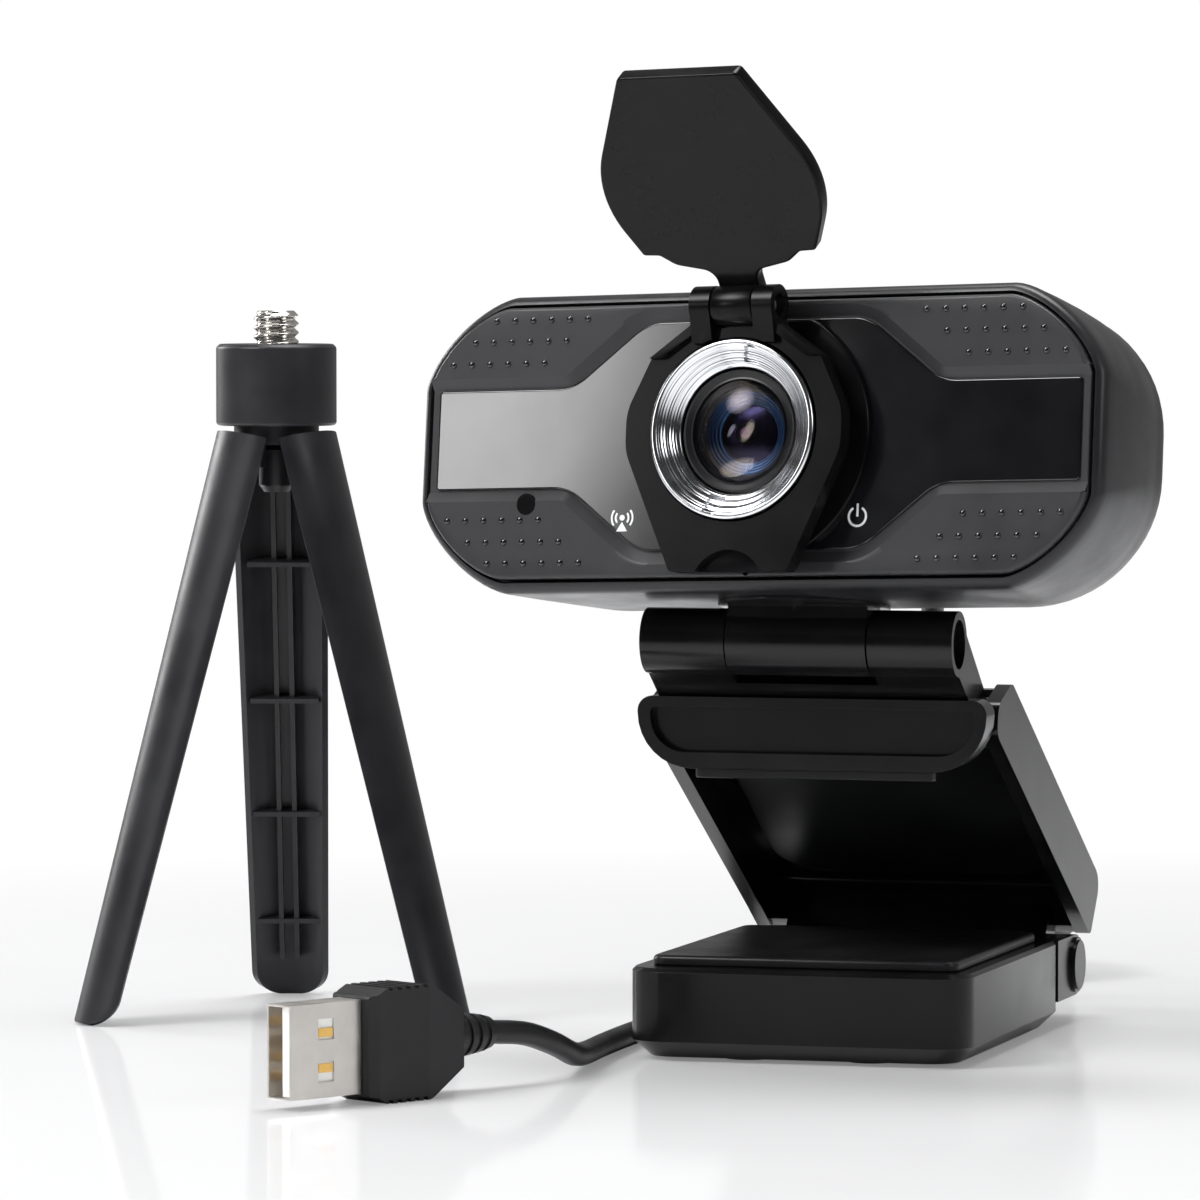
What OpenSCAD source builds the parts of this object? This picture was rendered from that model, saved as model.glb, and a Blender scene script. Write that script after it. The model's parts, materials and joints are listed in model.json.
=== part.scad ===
// Webcam with a flip-up privacy cover on a folding clip stand, its USB cord,
// and a mini tripod that stands beside it. Millimetres, +Z up.
// The origin is the mouth of the tripod socket under the foot.

/* [Head] */
// Width of the head
head_w = 100; // [96:1:106]
// Height of the head
head_h = 40; // [39:0.5:43]
// Depth of the head behind its front face
head_d = 32.5; // [31:0.5:36]
// Wall of the head's housing
head_wall = 2; // [1.6:0.1:2.4]
// Thickness of the front bezel
bezel_t = 3.2; // [2.9:0.1:3.8]
// Depth of the pocket that holds the front panel
pocket_d = 2; // [1.7:0.1:2.2]
// Thickness of the front panel
panel_t = 1.4; // [1:0.1:1.5]
// Length of the front panel
panel_w = 94.2; // [90:0.2:94.6]
// Height of the front panel at its ends
panel_end_h = 13.4; // [11:0.2:14]
// Height of the front panel round the lens
panel_mid_h = 30.5; // [29:0.5:31]
// Radius of the grip dots
dot_r = 0.45; // [0.3:0.05:0.6]
// Pitch of the grip dots
dot_pitch = 2.75; // [2.5:0.05:2.8]
// Turn of the head on its swivel
head_turn = -11.4; // [-30:0.1:30]
// Tilt of the head, negative looks up
head_tilt = -8.6; // [-20:0.1:10]
// Distance of the swivel axis behind the front face
swivel_back = 17.9; // [17:0.1:19]

/* [Lens] */
// Outer radius of the lens ring
ring_r = 11.9; // [11.5:0.1:12.2]
// Inner radius of the lens ring
ring_in_r = 8.4; // [8:0.1:9]
// Height of the lens ring's edge over the front face
ring_proud = 6; // [5:0.1:6.2]
// Radius of the front glass
glass_r = 6.8; // [6:0.1:7]
// Height of the glass dome
glass_dome = 1.9; // [1:0.1:2.2]

/* [Privacy cover] */
// Half width of the cover and its frame
cover_hw = 15.7; // [15:0.1:17]
// Thickness of the flip cover
cover_t = 2.4; // [1.6:0.1:2.8]
// Reach of the flip cover from its hinge
cover_len = 33.9; // [32:0.1:36]
// Front of the cover frame over the front face
frame_proud = 5.3; // [4.5:0.1:5.4]
// Thickness of the cover frame
frame_t = 2.7; // [2:0.1:3]
// Radius of the cover's hinge barrel
cover_barrel_r = 2.7; // [2.4:0.1:2.9]
// Radius of the cover's hinge pin
cover_pin_r = 0.8; // [0.6:0.1:1]
// Forward lean of the open cover
cover_lean = 40; // [20:1:60]

/* [Clip] */
// Radius of the clip's ears
ear_r = 4.4; // [4:0.1:4.5]
// Length of the barrel over both ears
barrel_w = 42.8; // [40:0.2:43.4]
// Radius of the tilt knuckle
knuckle_r = 4.5; // [4.2:0.1:5]
// Width of the tilt knuckle
knuckle_w = 19.2; // [17:0.2:21]
// Radius of the tilt pin
tilt_pin_r = 1.5; // [1.2:0.1:1.8]
// Radius of the swivel disc
disc_r = 11.5; // [10:0.5:12]
// Radius of the swivel stem
stem_r = 3.5; // [3:0.1:4]
// How far the clip's lip lies inside each side of the arm
lip_in = 0.1; // [-0.8:0.05:1.2]
// Height of the clip's lip
lip_h = 9.1; // [8:0.1:10]
// Thickness of the clip's lip
lip_t = 4.7; // [4:0.1:5]
// Height of the tilt axis over the foot's underside
barrel_z = 55.6; // [54:0.2:58]
// Tilt axis ahead of the foot's middle
barrel_fwd = 24.3; // [23:0.1:25]

/* [Arm] */
// Slope of the folding arm
arm_slope = 29.3; // [28:0.1:31]
// Length of the arm between its two hinges
arm_len = 57.5; // [56:0.5:59]
// Width of the arm
arm_w = 48.4; // [47:0.2:50]
// Thickness of the arm's side walls
arm_wall = 2; // [1.6:0.1:2.4]
// Thickness of the arm's back plate
arm_plate = 2.5; // [2:0.1:3]
// Radius of the arm's upper pin
clip_pin_r = 1.2; // [1:0.1:1.5]

/* [Foot] */
// Width of the foot
foot_w = 47; // [45:0.5:50]
// Depth of the foot
foot_d = 58; // [56:0.5:60]
// Height of the foot
foot_h = 12; // [12:0.2:13]
// Corner radius of the foot
foot_r = 5; // [4:0.5:7]
// Wall of the foot
foot_wall = 2; // [1.6:0.1:2.2]
// Thickness of the foot's bottom cover
bottom_t = 1.6; // [1.4:0.1:2]
// Thickness of the rubber top pad
pad_t = 1.4; // [1:0.1:1.8]
// Thickness of the steel ballast
ballast_t = 5; // [4:0.5:6]
// Major diameter of the tripod thread
thread_d = 6.35; // [6.35:0.01:6.4]
// Radius of the foot's hinge bosses
boss_r = 4.25; // [4:0.05:4.4]
// Radius of the foot's hinge pin
foot_pin_r = 1.5; // [1.2:0.1:1.8]
// Length of each hinge boss
boss_l = 4.4; // [4:0.1:5]
// Height of the rubber feet under the foot
table_gap = 0.5; // [0.3:0.1:0.8]

/* [Tripod] */
// Radius of the tripod's head
tri_head_r = 8.5; // [8:0.1:9.5]
// Height of the tripod's head
tri_head_h = 11.5; // [10:0.5:13]
// Height of the top of the tripod's head over the table
tri_top = 95; // [92:0.5:98]
// Length of the tripod's screw
tri_screw_l = 4.8; // [4:0.1:6]
// Angle of the legs when they stand open
leg_open = 16.5; // [14:0.5:18]
// Wall of the legs
leg_wall = 1.3; // [1:0.1:1.6]
// Radius of the leg pins
leg_pin_r = 0.8; // [0.6:0.1:1]

/* [Cord] */
// Diameter of the cord
cord_d = 3.2; // [3:0.1:3.4]
// Width of the plug's boot
boot_w = 14.8; // [14:0.1:16]
// Thickness of the plug's boot
boot_t = 8; // [7:0.1:9]

/* [Hidden] */
$fn = 48;
fit = 0.05;       // radial clearance of a shaft in its hole
gap = 0.3;        // clearance between curved faces of two bodies
slip = 0.2;       // side clearance of a knuckle between its ears
e = 0.01;

// ---------- derived places ----------
table_z = -table_gap;
head_sink = 0.5;                      // lens axis over the head's middle
disc_t = 0.45;
under = knuckle_r + 0.1 + disc_t + fit;   // tilt axis to the head's underside
head_up = head_h/2 + head_sink + under;   // tilt axis to the lens axis
barrel_at = [0, -barrel_fwd, barrel_z];
panel_y = pocket_d - panel_t;         // front of the panel behind the face
groove = 0.3;                         // gap between bezel and housing rim
rim_y = 1;                            // front edge of the housing's rim
bezel_w = head_w - 3.6;
bezel_h = head_h - 3.6;
cover_axis = [-5, 16.3];              // y and z of the cover's hinge
cover_off = 1.5;                      // cover's inner face behind its hinge axis
foot_axis = [foot_d/2 + 8, 7.6];      // y and z of the foot's hinge
arm_back = 15.85;                     // outer face of the arm over its lower axis
arm_in = 6.2;                         // inner edge of the arm's side walls
clip_axis = [arm_len, 9.8];           // upper hinge along and over the arm
pivot_y = foot_axis[0] - arm_len*cos(arm_slope) + clip_axis[1]*sin(arm_slope);
pivot_z = foot_axis[1] + arm_len*sin(arm_slope) + clip_axis[1]*cos(arm_slope);
clip_k_r = 3.4;                       // clip's rear knuckle
lip_top = barrel_z - 8.3;
lip_y = pivot_y - 7;                  // rear face of the lip
tripod_at = [-88, 18];
tripod_turn = 15;
plug_at = [-49, -97];
plug_turn = 60;
coil_at = [-12, 98];
coil_r = 16.7;                        // middle radius of the coil's turns
coil_wide = 3;                        // turns side by side
coil_high = 4;                        // layers of turns

// route of the cord from the strain relief down to the coil
drop_pts = [[4.8, 1.9, 69.4], [6.6, 10.9, 68], [6.8, 18.6, 65.7], [5.4, 26.6, 61.3], [3.4, 34, 54.6],
  [1.6, 40.4, 46.2], [1, 45.8, 37], [1.4, 51.4, 27.6], [2.6, 57.6, 18.2], [4.2, 64.6, 10],
  [5.7, 72.6, 4.2], [7, 81.6, 1.4], [7.8, 90, 1.1], [7.9, 97, 1.1]];
// route of the cord from the coil's top to the plug
run_pts = [[-31.9, 97, 10.7], [-32, 91, 10], [-32.2, 84, 7.6], [-32, 77, 4.6], [-31.6, 70, 2.2],
  [-31, 62, 1.1], [-30, 52, 1.1], [-29, 40, 1.1], [-28.2, 28, 1.1], [-28, 14, 1.1],
  [-28, 0, 1.1], [-28, -14, 1.1], [-27.6, -26, 1.1], [-26.6, -37, 1.3], [-25.6, -46, 2.2],
  [-26, -53, 4.2], [-28, -60, 6.2], [-31, -66, 6.9]];

// ---------- helpers ----------
// polygon with rounded corners: points P, radii R, n chords a corner
function rpoly(P, R, n = 6) = [for (i = [0:len(P)-1])
  let (m = len(P), p = P[i], a = P[(i+m-1)%m], b = P[(i+1)%m],
       u = (a-p)/norm(a-p), v = (b-p)/norm(b-p), h = acos(u*v)/2)
  each (R[i] <= 0 ? [p] :
    let (c = p + (u+v)/norm(u+v)*R[i]/sin(h), t = R[i]/tan(h),
         s = p+u*t-c, f = p+v*t-c, a0 = atan2(s[1], s[0]), a1 = atan2(f[1], f[0]),
         d = a1-a0 > 180 ? a1-a0-360 : a1-a0 < -180 ? a1-a0+360 : a1-a0)
    [for (k = [0:n]) c + R[i]*[cos(a0+d*k/n), sin(a0+d*k/n)]])];
function flip(P) = [for (i = [len(P)-1:-1:0]) [-P[i][0], P[i][1]]];
// closed outline from its right half, listed upwards from the bottom
function both(P) = concat(P, flip(P));
// outline with superelliptic corners: half sizes, corner sizes, power
function soft_rect(w, h, cx, cz, p, n = 9) = [for (q = [0:3]) for (k = [0:n])
  let (t = 90*(q%2 == 0 ? k/n : 1-k/n), x = w-cx+cx*pow(cos(t), 2/p), z = h-cz+cz*pow(sin(t), 2/p))
  q == 0 ? [x, z] : q == 1 ? [-x, z] : q == 2 ? [-x, -z] : [x, -z]];
// solid through rings of points, all with the same count
module skin(rings) {
  n = len(rings[0]); m = len(rings);
  polyhedron([for (r = rings) each r],
    concat([[for (i = [0:n-1]) i]],
      [for (j = [0:m-2]) for (i = [0:n-1])
        [j*n+i, (j+1)*n+i, (j+1)*n+(i+1)%n, j*n+(i+1)%n]],
      [[for (i = [n-1:-1:0]) (m-1)*n+i]]), convexity = 6);
}
module skin_y(rings) skin([for (i = [len(rings)-1:-1:0]) rings[i]]);
function at_y(P, y, dz = 0) = [for (p = P) [p[0], y, p[1]+dz]];
module xz(y0, y1) translate([0, y1, 0]) rotate([90, 0, 0]) linear_extrude(y1-y0) children();
module yz(x0, x1) translate([x0, 0, 0]) rotate([90, 0, 90]) linear_extrude(x1-x0) children();
module rod_y(r, y0, y1, x = 0, z = 0) translate([x, y0, z]) rotate([-90, 0, 0]) cylinder(r = r, h = y1-y0);
module rod_x(r, x0, x1, y = 0, z = 0) translate([x0, y, z]) rotate([0, 90, 0]) cylinder(r = r, h = x1-x0);
// turned part along +Y from a profile of [radius, y]
module turned(P, y = 0) translate([0, y, 0]) rotate([-90, 0, 0]) rotate_extrude() polygon(P);

module neck_frame() translate(barrel_at) rotate([head_tilt, 0, 0]) children();
module head_frame() neck_frame() rotate([0, 0, head_turn]) translate([0, -swivel_back, head_up]) children();
module cover_frame_at() head_frame() translate([0, cover_axis[0], cover_axis[1]]) rotate([cover_lean, 0, 0]) children();
module arm_frame() translate([0, foot_axis[0], foot_axis[1]]) rotate([-arm_slope, 0, 0]) rotate([0, 0, 180]) children();
module tripod_frame() translate([tripod_at[0], tripod_at[1], table_z]) rotate([0, 0, tripod_turn]) children();
module plug_frame() translate([plug_at[0], plug_at[1], table_z + boot_w/2]) rotate([0, 0, plug_turn]) children();

// ---------- foot ----------
module slab(w, d, r, z0, z1) translate([0, 0, z0]) linear_extrude(z1-z0)
  polygon(rpoly([[w/2, -d/2], [w/2, d/2], [-w/2, d/2], [-w/2, -d/2]], [r, r, r, r]));
foot_bevel = 2.2;
screw_x = foot_w/2 - 8; screw_y = foot_d/2 - 8;
module at_corners() for (x = [-screw_x, screw_x], y = [-screw_y, screw_y]) translate([x, y, 0]) children();
cover_in = foot_bevel + foot_wall - 0.2;   // bottom cover's edge inside the foot's outline

module foot_shell() color([0.05, 0.05, 0.055]) difference() {
  union() {
    difference() {
      union() {
        hull() {
          slab(foot_w-2*foot_bevel, foot_d-2*foot_bevel, foot_r-1, 0, 1);
          slab(foot_w, foot_d, foot_r, foot_bevel, foot_h-0.5);
          slab(foot_w-1, foot_d-1, foot_r-0.5, foot_h-1, foot_h);
        }
        for (s = [0, 1]) mirror([s, 0, 0]) yz(foot_w/2-boss_l, foot_w/2) union() {
          translate(foot_axis) circle(r = boss_r);
          translate([foot_d/2-3, foot_axis[1]-boss_r]) square([foot_axis[0]-foot_d/2+3, 2*boss_r]);
        }
      }
      slab(foot_w-2*cover_in, foot_d-2*cover_in, foot_r-2, -1, bottom_t+e);
      slab(foot_w-2*cover_in-1, foot_d-2*cover_in-1, foot_r-2, bottom_t, foot_h-foot_wall);
    }
    at_corners() translate([0, 0, bottom_t]) cylinder(r = 2.6, h = foot_h-bottom_t-1);
    translate([0, 0, 8]) cylinder(r = 6, h = foot_h-9);
  }
  at_corners() translate([0, 0, bottom_t-1]) cylinder(r = 1+fit, h = 7);
  rod_x(foot_pin_r+fit, -foot_w, foot_w, foot_axis[0], foot_axis[1]);
}
module foot_cover() color([0.06, 0.06, 0.065]) difference() {
  slab(foot_w-2*cover_in-0.2, foot_d-2*cover_in-0.2, foot_r-2.1, 0, bottom_t);
  translate([0, 0, -1]) cylinder(r = 5+fit, h = 5);
  at_corners() { translate([0, 0, -1]) cylinder(r = 1.1+fit, h = 5); translate([0, 0, -1]) cylinder(r = 2, h = 2); }
}
module foot_screws() color([0.6, 0.6, 0.62]) at_corners() difference() {
  union() { translate([0, 0, 0.3]) cylinder(r = 1.9, h = 0.7); translate([0, 0, 0.9]) cylinder(r = 1, h = 6); }
  translate([0, 0, 0]) cylinder(r = 0.8, h = 0.6, $fn = 6);
}
module foot_ballast() color([0.55, 0.56, 0.58]) difference() {
  union() {
    slab(2*(screw_x-2.6-gap), foot_d-2*cover_in-2.4, 1, bottom_t, bottom_t+ballast_t);
    slab(foot_w-2*cover_in-2.4, 2*(screw_y-2.6-gap), 1, bottom_t, bottom_t+ballast_t);
  }
  cylinder(r = 5+gap, h = 20);
}
module socket_nut() color([0.75, 0.6, 0.3]) difference() {
  union() { cylinder(r = 5, h = 8); translate([0, 0, bottom_t+ballast_t]) cylinder(r = 5.8, h = 8-bottom_t-ballast_t); }
  translate([0, 0, -1]) cylinder(r = thread_d/2+fit, h = 8);
}
module rubber_feet() color([0.12, 0.12, 0.12])
  for (x = [-1, 1], y = [-1, 1]) translate([x*(screw_x-7), y*(screw_y-1), table_z]) cylinder(r = 3.5, h = table_gap);
module foot_pad() color([0.09, 0.09, 0.095]) translate([0, -0.5, 0]) hull() {
  slab(foot_w-4.8, foot_d-10, 2, foot_h, foot_h+pad_t-0.4);
  slab(foot_w-5.6, foot_d-10.8, 1.8, foot_h, foot_h+pad_t);
}
module foot_hinge_pin() color([0.16, 0.16, 0.17]) {
  rod_x(foot_pin_r, -foot_w/2, foot_w/2, foot_axis[0], foot_axis[1]);
  for (s = [0, 1]) mirror([s, 0, 0]) {
    rod_x(boss_r-0.4, foot_w/2, foot_w/2+0.4, foot_axis[0], foot_axis[1]);
    rod_x(boss_r-0.8, foot_w/2, foot_w/2+0.7, foot_axis[0], foot_axis[1]);
  }
}

// ---------- arm ----------
arm_k_r = boss_r - 0.15;
arm_k_w = foot_w - 2*boss_l - 2*slip;
arm_top = clip_axis[0];
arm_side = rpoly([[-5.8, arm_back], [arm_top, arm_back], [arm_top+5.8, clip_axis[1]-0.2],
  [arm_top+4.4, arm_in-0.4], [3, arm_in], [-3.8, arm_in-0.1]], [2.5, 3, 3, 2, 2, 1.5]);
module arm_shell() color([0.05, 0.05, 0.055]) arm_frame() difference() {
  union() {
    for (s = [0, 1]) mirror([s, 0, 0]) yz(arm_w/2-arm_wall, arm_w/2) polygon(arm_side);
    yz(-arm_w/2+1, arm_w/2-1) polygon(rpoly([[-5.6, arm_back], [arm_top-1.5, arm_back],
      [arm_top-1.5, arm_back-arm_plate], [-1.5, arm_back-arm_plate], [-1.5, arm_in+0.5], [-4, arm_in+0.5]],
      [2.3, 0.5, 0.5, 1, 0.3, 0.3]));
    yz(-arm_k_w/2, arm_k_w/2) polygon([[-4.6, 9], [-arm_k_r, 0], [1.5, 0], [0.2, 9]]);
    rod_x(arm_k_r, -arm_k_w/2, arm_k_w/2);
  }
  rod_x(foot_pin_r+fit, -arm_w, arm_w);
  rod_x(clip_pin_r+fit, -arm_w/2+0.8, arm_w/2-0.8, clip_axis[0], clip_axis[1]);
}
module arm_panel() color([0.045, 0.045, 0.05]) arm_frame()
  translate([0, 0, arm_back-arm_plate-0.8]) linear_extrude(0.8)
    polygon(rpoly([[arm_w/2-4.2, 2.5], [arm_w/2-4.2, arm_top-3], [-arm_w/2+4.2, arm_top-3], [-arm_w/2+4.2, 2.5]],
      [7, 2, 2, 7]));
module clip_hinge_pin() color([0.6, 0.6, 0.62]) arm_frame()
  rod_x(clip_pin_r, -arm_w/2+0.9, arm_w/2-0.9, clip_axis[0], clip_axis[1]);

// ---------- clip ----------
clip_w = arm_w - 2*arm_wall - 2*slip;
lip_w = arm_w - 2*lip_in;
clip_dir = [pivot_y+barrel_fwd, pivot_z-barrel_z]/norm([pivot_y+barrel_fwd, pivot_z-barrel_z]);
clip_nrm = [-clip_dir[1], clip_dir[0]];
b2 = [-barrel_fwd, barrel_z]; p2 = [pivot_y, pivot_z];
module clip_body() color([0.05, 0.05, 0.055]) difference() {
  union() {
    yz(-barrel_w/2, barrel_w/2) union() {
      translate(b2) circle(r = ear_r);
      polygon([b2+clip_nrm*3.4, p2+clip_nrm*2.6, p2-clip_nrm*2.8, b2-clip_nrm*3.6]);
    }
    rod_x(clip_k_r, -clip_w/2, clip_w/2, pivot_y, pivot_z);
    difference() {
      xz(lip_y-lip_t, lip_y) polygon(both(rpoly([[0, lip_top-lip_h], [lip_w/2, lip_top-lip_h],
        [lip_w/2, lip_top+0.6], [0, lip_top+0.6]], [0, 7.5, 2, 0], 8)));
      xz(lip_y-lip_t-1, lip_y-lip_t+1.8) polygon(both(rpoly([[0, lip_top-lip_h+2.2], [lip_w/2-1.8, lip_top-lip_h+2.2],
        [lip_w/2-1.8, lip_top-0.8], [0, lip_top-0.8]], [0, 4.8, 0.6, 0], 8)));
    }
  }
  rod_x(knuckle_r+1.7, -knuckle_w/2-slip, knuckle_w/2+slip, -barrel_fwd, barrel_z);
  rod_x(tilt_pin_r+fit, -barrel_w/2+2, barrel_w, -barrel_fwd, barrel_z);
  rod_x(3.3, barrel_w/2-4.5, barrel_w, -barrel_fwd, barrel_z);
  rod_x(clip_pin_r+fit, -arm_w, arm_w, pivot_y, pivot_z);
}
module clip_pad() color([0.1, 0.1, 0.1])
  translate([0, lip_y-2.2, lip_top-lip_h-1.3]) linear_extrude(1.3)
    polygon(rpoly([[16.5, -1.3], [16.5, 1.3], [-16.5, 1.3], [-16.5, -1.3]], [1, 1, 1, 1]));
module tilt_pin() color([0.5, 0.5, 0.52]) {
  rod_x(tilt_pin_r, -barrel_w/2+2.1, barrel_w/2-3.2, -barrel_fwd, barrel_z);
  difference() {
    rod_x(2.9, barrel_w/2-4.5, barrel_w/2-3, -barrel_fwd, barrel_z);
    translate([barrel_w/2-3.7, -barrel_fwd, barrel_z]) rotate([0, 90, 0]) cylinder(r = 1.3, h = 2, $fn = 6);
  }
}

// ---------- neck ----------
wall_boss = head_wall + 1;            // boss inside the head round the stem
stem_top = under + wall_boss + 0.1;
module tilt_knuckle() color([0.06, 0.06, 0.065]) neck_frame() difference() {
  union() {
    rod_x(knuckle_r, -knuckle_w/2, knuckle_w/2);
    translate([-knuckle_w/2, -3.4, 0]) cube([knuckle_w, 6.8, under-fit-disc_t+e]);
    translate([0, 0, under-fit-disc_t]) cylinder(r = disc_r, h = disc_t);
    cylinder(r = stem_r, h = stem_top);
  }
  rod_x(tilt_pin_r+fit, -knuckle_w, knuckle_w);
  translate([0, 0, tilt_pin_r+1]) cylinder(r = 1.25+fit, h = 30);
}
module swivel_washer() color([0.7, 0.7, 0.72]) neck_frame() translate([0, 0, stem_top]) difference() {
  cylinder(r = stem_r+2.5, h = 0.8);
  translate([0, 0, -1]) cylinder(r = 1.25+fit, h = 3);
}
module swivel_screw() color([0.7, 0.7, 0.72]) neck_frame() difference() {
  union() {
    translate([0, 0, tilt_pin_r+1.2]) cylinder(r = 1.25, h = stem_top-tilt_pin_r-1.2+0.8);
    translate([0, 0, stem_top+0.8]) cylinder(r = 2.6, h = 1.5);
  }
  translate([0, 0, stem_top+1.5]) cylinder(r = 1.1, h = 2, $fn = 6);
}

// ---------- head ----------
hw = head_w/2; hh = head_h/2; mid = -head_sink;
board_y = head_d - 12;
post = [hw-10, 4.2];
cord_exit = [0, -8];
module head_posts(r, y0, y1) for (x = [-post[0], post[0]], z = [-post[1], post[1]]) rod_y(r, y0, y1, x, z+mid);
module rear_housing() color([0.07, 0.07, 0.075]) head_frame() difference() {
  union() {
    difference() {
      skin_y([at_y(soft_rect(hw-1.3, hh-1.3, 12.5, 11.5, 1.5), rim_y, mid),
        at_y(soft_rect(hw, hh, 13.5, 12.5, 1.5), rim_y+2, mid),
        at_y(soft_rect(hw, hh, 15, 14, 1.7), 12, mid),
        at_y(soft_rect(hw-2.2, hh, 18, 17, 2), head_d-8.5, mid),
        at_y(soft_rect(hw-5, hh-2, 18, 16, 2), head_d-3, mid),
        at_y(soft_rect(hw-9, hh-6, 15, 12, 2), head_d, mid)]);
      skin_y([at_y(soft_rect(bezel_w/2+groove, bezel_h/2+groove, 11.8, 10.8, 1.5), rim_y-1, mid),
        at_y(soft_rect(bezel_w/2+groove, bezel_h/2+groove, 11.8, 10.8, 1.5), bezel_t, mid)]);
      skin_y([at_y(soft_rect(hw-head_wall-1.5, hh-head_wall-1.5, 12, 11, 1.6), bezel_t-e, mid),
        at_y(soft_rect(hw-head_wall-0.6, hh-head_wall-0.6, 13.5, 12.5, 1.7), 12, mid),
        at_y(soft_rect(hw-head_wall-2.6, hh-head_wall-0.6, 16, 15, 2), head_d-9.5, mid),
        at_y(soft_rect(hw-head_wall-6.5, hh-head_wall-3.6, 15, 13, 2), head_d-head_wall-1.5, mid),
        at_y(soft_rect(hw-head_wall-8.5, hh-head_wall-5.6, 14, 12, 2), head_d-head_wall, mid)]);
    }
    head_posts(2.4, bezel_t, head_d-1);
    for (x = [-30, 30], z = [-8, 9]) rod_y(1.8, board_y+1.2, head_d-1, x, z);
    translate([0, swivel_back, -hh+mid+0.5]) cylinder(r = stem_r+4, h = wall_boss-0.5);
  }
  head_posts(1+fit, bezel_t-1, bezel_t+9);
  translate([0, swivel_back, -hh+mid-1]) cylinder(r = stem_r+fit, h = 8);
  rod_y(3+fit, head_d-6, head_d+1, cord_exit[0], cord_exit[1]);
}
// outline of the front panel, grown by g
function panel_out(g) = let (a = panel_w/2+g, b = panel_end_h/2+g, c = panel_mid_h/2+g, q = 16.2+0.45*g, k = 27+0.45*g)
  rpoly([[a, -b], [a, b], [k, b], [q, c], [-q, c], [-k, b], [-a, b], [-a, -b], [-k, -b], [-q, -c], [q, -c], [k, -b]],
    [0.5, 0.5, 7, 7, 7, 7, 0.5, 0.5, 7, 7, 7, 7]);
bevel_w = 1.6;                        // width of the slope round the panel
// the slope's long band and its middle, each a convex outline
function slope_band(g) = let (a = bezel_w/2+1, b = panel_end_h/2+g) [[a, -b], [a, b], [-a, b], [-a, -b]];
function slope_mid(g) = let (b = panel_end_h/2+g, c = panel_mid_h/2+g+0.3, q = 16.2+0.45*g, k = 27+0.45*g, x = k+b*(k-q)/(c-b))
  rpoly([[x, 0], [q, c], [-q, c], [-x, 0], [-q, -c], [q, -c]], [0, 7, 7, 0, 7, 7]);
dot_rows = [[16.3, 24.8], [13.45, 27.9], [10.5, 31.1]];
module front_bezel() color([0.09, 0.09, 0.095]) head_frame() difference() {
  union() {
    skin_y([at_y(soft_rect(bezel_w/2-0.6, bezel_h/2-0.6, 11.2, 10.2, 1.5), 0, mid),
      at_y(soft_rect(bezel_w/2, bezel_h/2, 11.5, 10.5, 1.5), 0.6, mid),
      at_y(soft_rect(bezel_w/2, bezel_h/2, 11.5, 10.5, 1.5), bezel_t, mid)]);
    for (s = [-1, 1], v = [-1, 1], r = dot_rows, k = [0:5])
      translate([s*(r[1]+k*dot_pitch), e, v*r[0]+0.7*mid]) rotate([90, 0, 0]) cylinder(r1 = dot_r, r2 = 0.6*dot_r, h = 0.3, $fn = 12);
  }
  skin_y([at_y(slope_band(bevel_w), -e), at_y(slope_band(0.2), panel_y)]);
  skin_y([at_y(slope_mid(bevel_w), -e), at_y(slope_mid(0.2), panel_y)]);
  xz(panel_y-e, pocket_d) polygon(panel_out(0.15));
  rod_y(7, -1, 10);
  head_posts(1.9+fit, -1, pocket_d+0.8);
  head_posts(1.1+fit, -1, bezel_t+1);
  rod_y(1.35, -1, bezel_t+1, -33, -8.8);
}
module gloss_panel() color([0.015, 0.015, 0.018]) head_frame() difference() {
  xz(panel_y, pocket_d) polygon(panel_out(0));
  rod_y(ring_r+0.1, -1, 5);
}
module arc2(r, w, a0, a1) polygon(concat([for (k = [0:8]) (r+w/2)*[cos(a0+(a1-a0)*k/8), sin(a0+(a1-a0)*k/8)]],
  [for (k = [8:-1:0]) (r-w/2)*[cos(a0+(a1-a0)*k/8), sin(a0+(a1-a0)*k/8)]]));
module panel_icons() color([0.95, 0.95, 0.95]) head_frame() xz(panel_y-0.04, panel_y) {
  translate([15.7, -11]) { for (a = [120, 240, 0]) arc2(1.25, 0.3, a, a+ (a == 0 ? 60 : 120)); translate([-0.15, 0]) square([0.3, 1.7]); }
  translate([-18.8, -10.7]) {
    circle(r = 0.38, $fn = 16); polygon([[-0.8, -1.8], [0.8, -1.8], [0, -0.55]]);
    for (a = [-40, 140]) { arc2(0.95, 0.26, a, a+80); arc2(1.55, 0.26, a, a+80); }
  }
}
module lens_ring() color([0.85, 0.85, 0.87]) head_frame() turned([[ring_in_r, pocket_d], [ring_r, pocket_d],
  [ring_r, -ring_proud+0.3], [ring_r-0.3, -ring_proud], [ring_r-0.9, -ring_proud+0.1], [ring_in_r+0.2, -3.9], [ring_in_r, -3.7]]);
module lens_barrel() color([0.03, 0.03, 0.03]) head_frame() turned([[5, -2.4], [glass_r+fit, -2.4], [glass_r+fit, -3.2],
  [ring_in_r-0.6, -3.5], [ring_in_r-0.2, -3.4], [ring_in_r-0.2, pocket_d], [6.8, pocket_d], [6.8, 7.5], [5, 7.5]]);
dome_r = (glass_r*glass_r+glass_dome*glass_dome)/(2*glass_dome);
module lens_glass() color([0.1, 0.12, 0.2]) head_frame() turned(concat([[0, -2.4], [glass_r, -2.4]],
  [for (k = [0:8]) let (a = asin(glass_r/dome_r)*(1-k/8)) [dome_r*sin(a), -2.6-glass_dome-dome_r*(cos(a)-1)]]));
module lens_holder() color([0.05, 0.05, 0.05]) head_frame() difference() {
  translate([-9, bezel_t, -9]) cube([18, 5, 18]);
  rod_y(6.8+fit, 0, 20);
}
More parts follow.
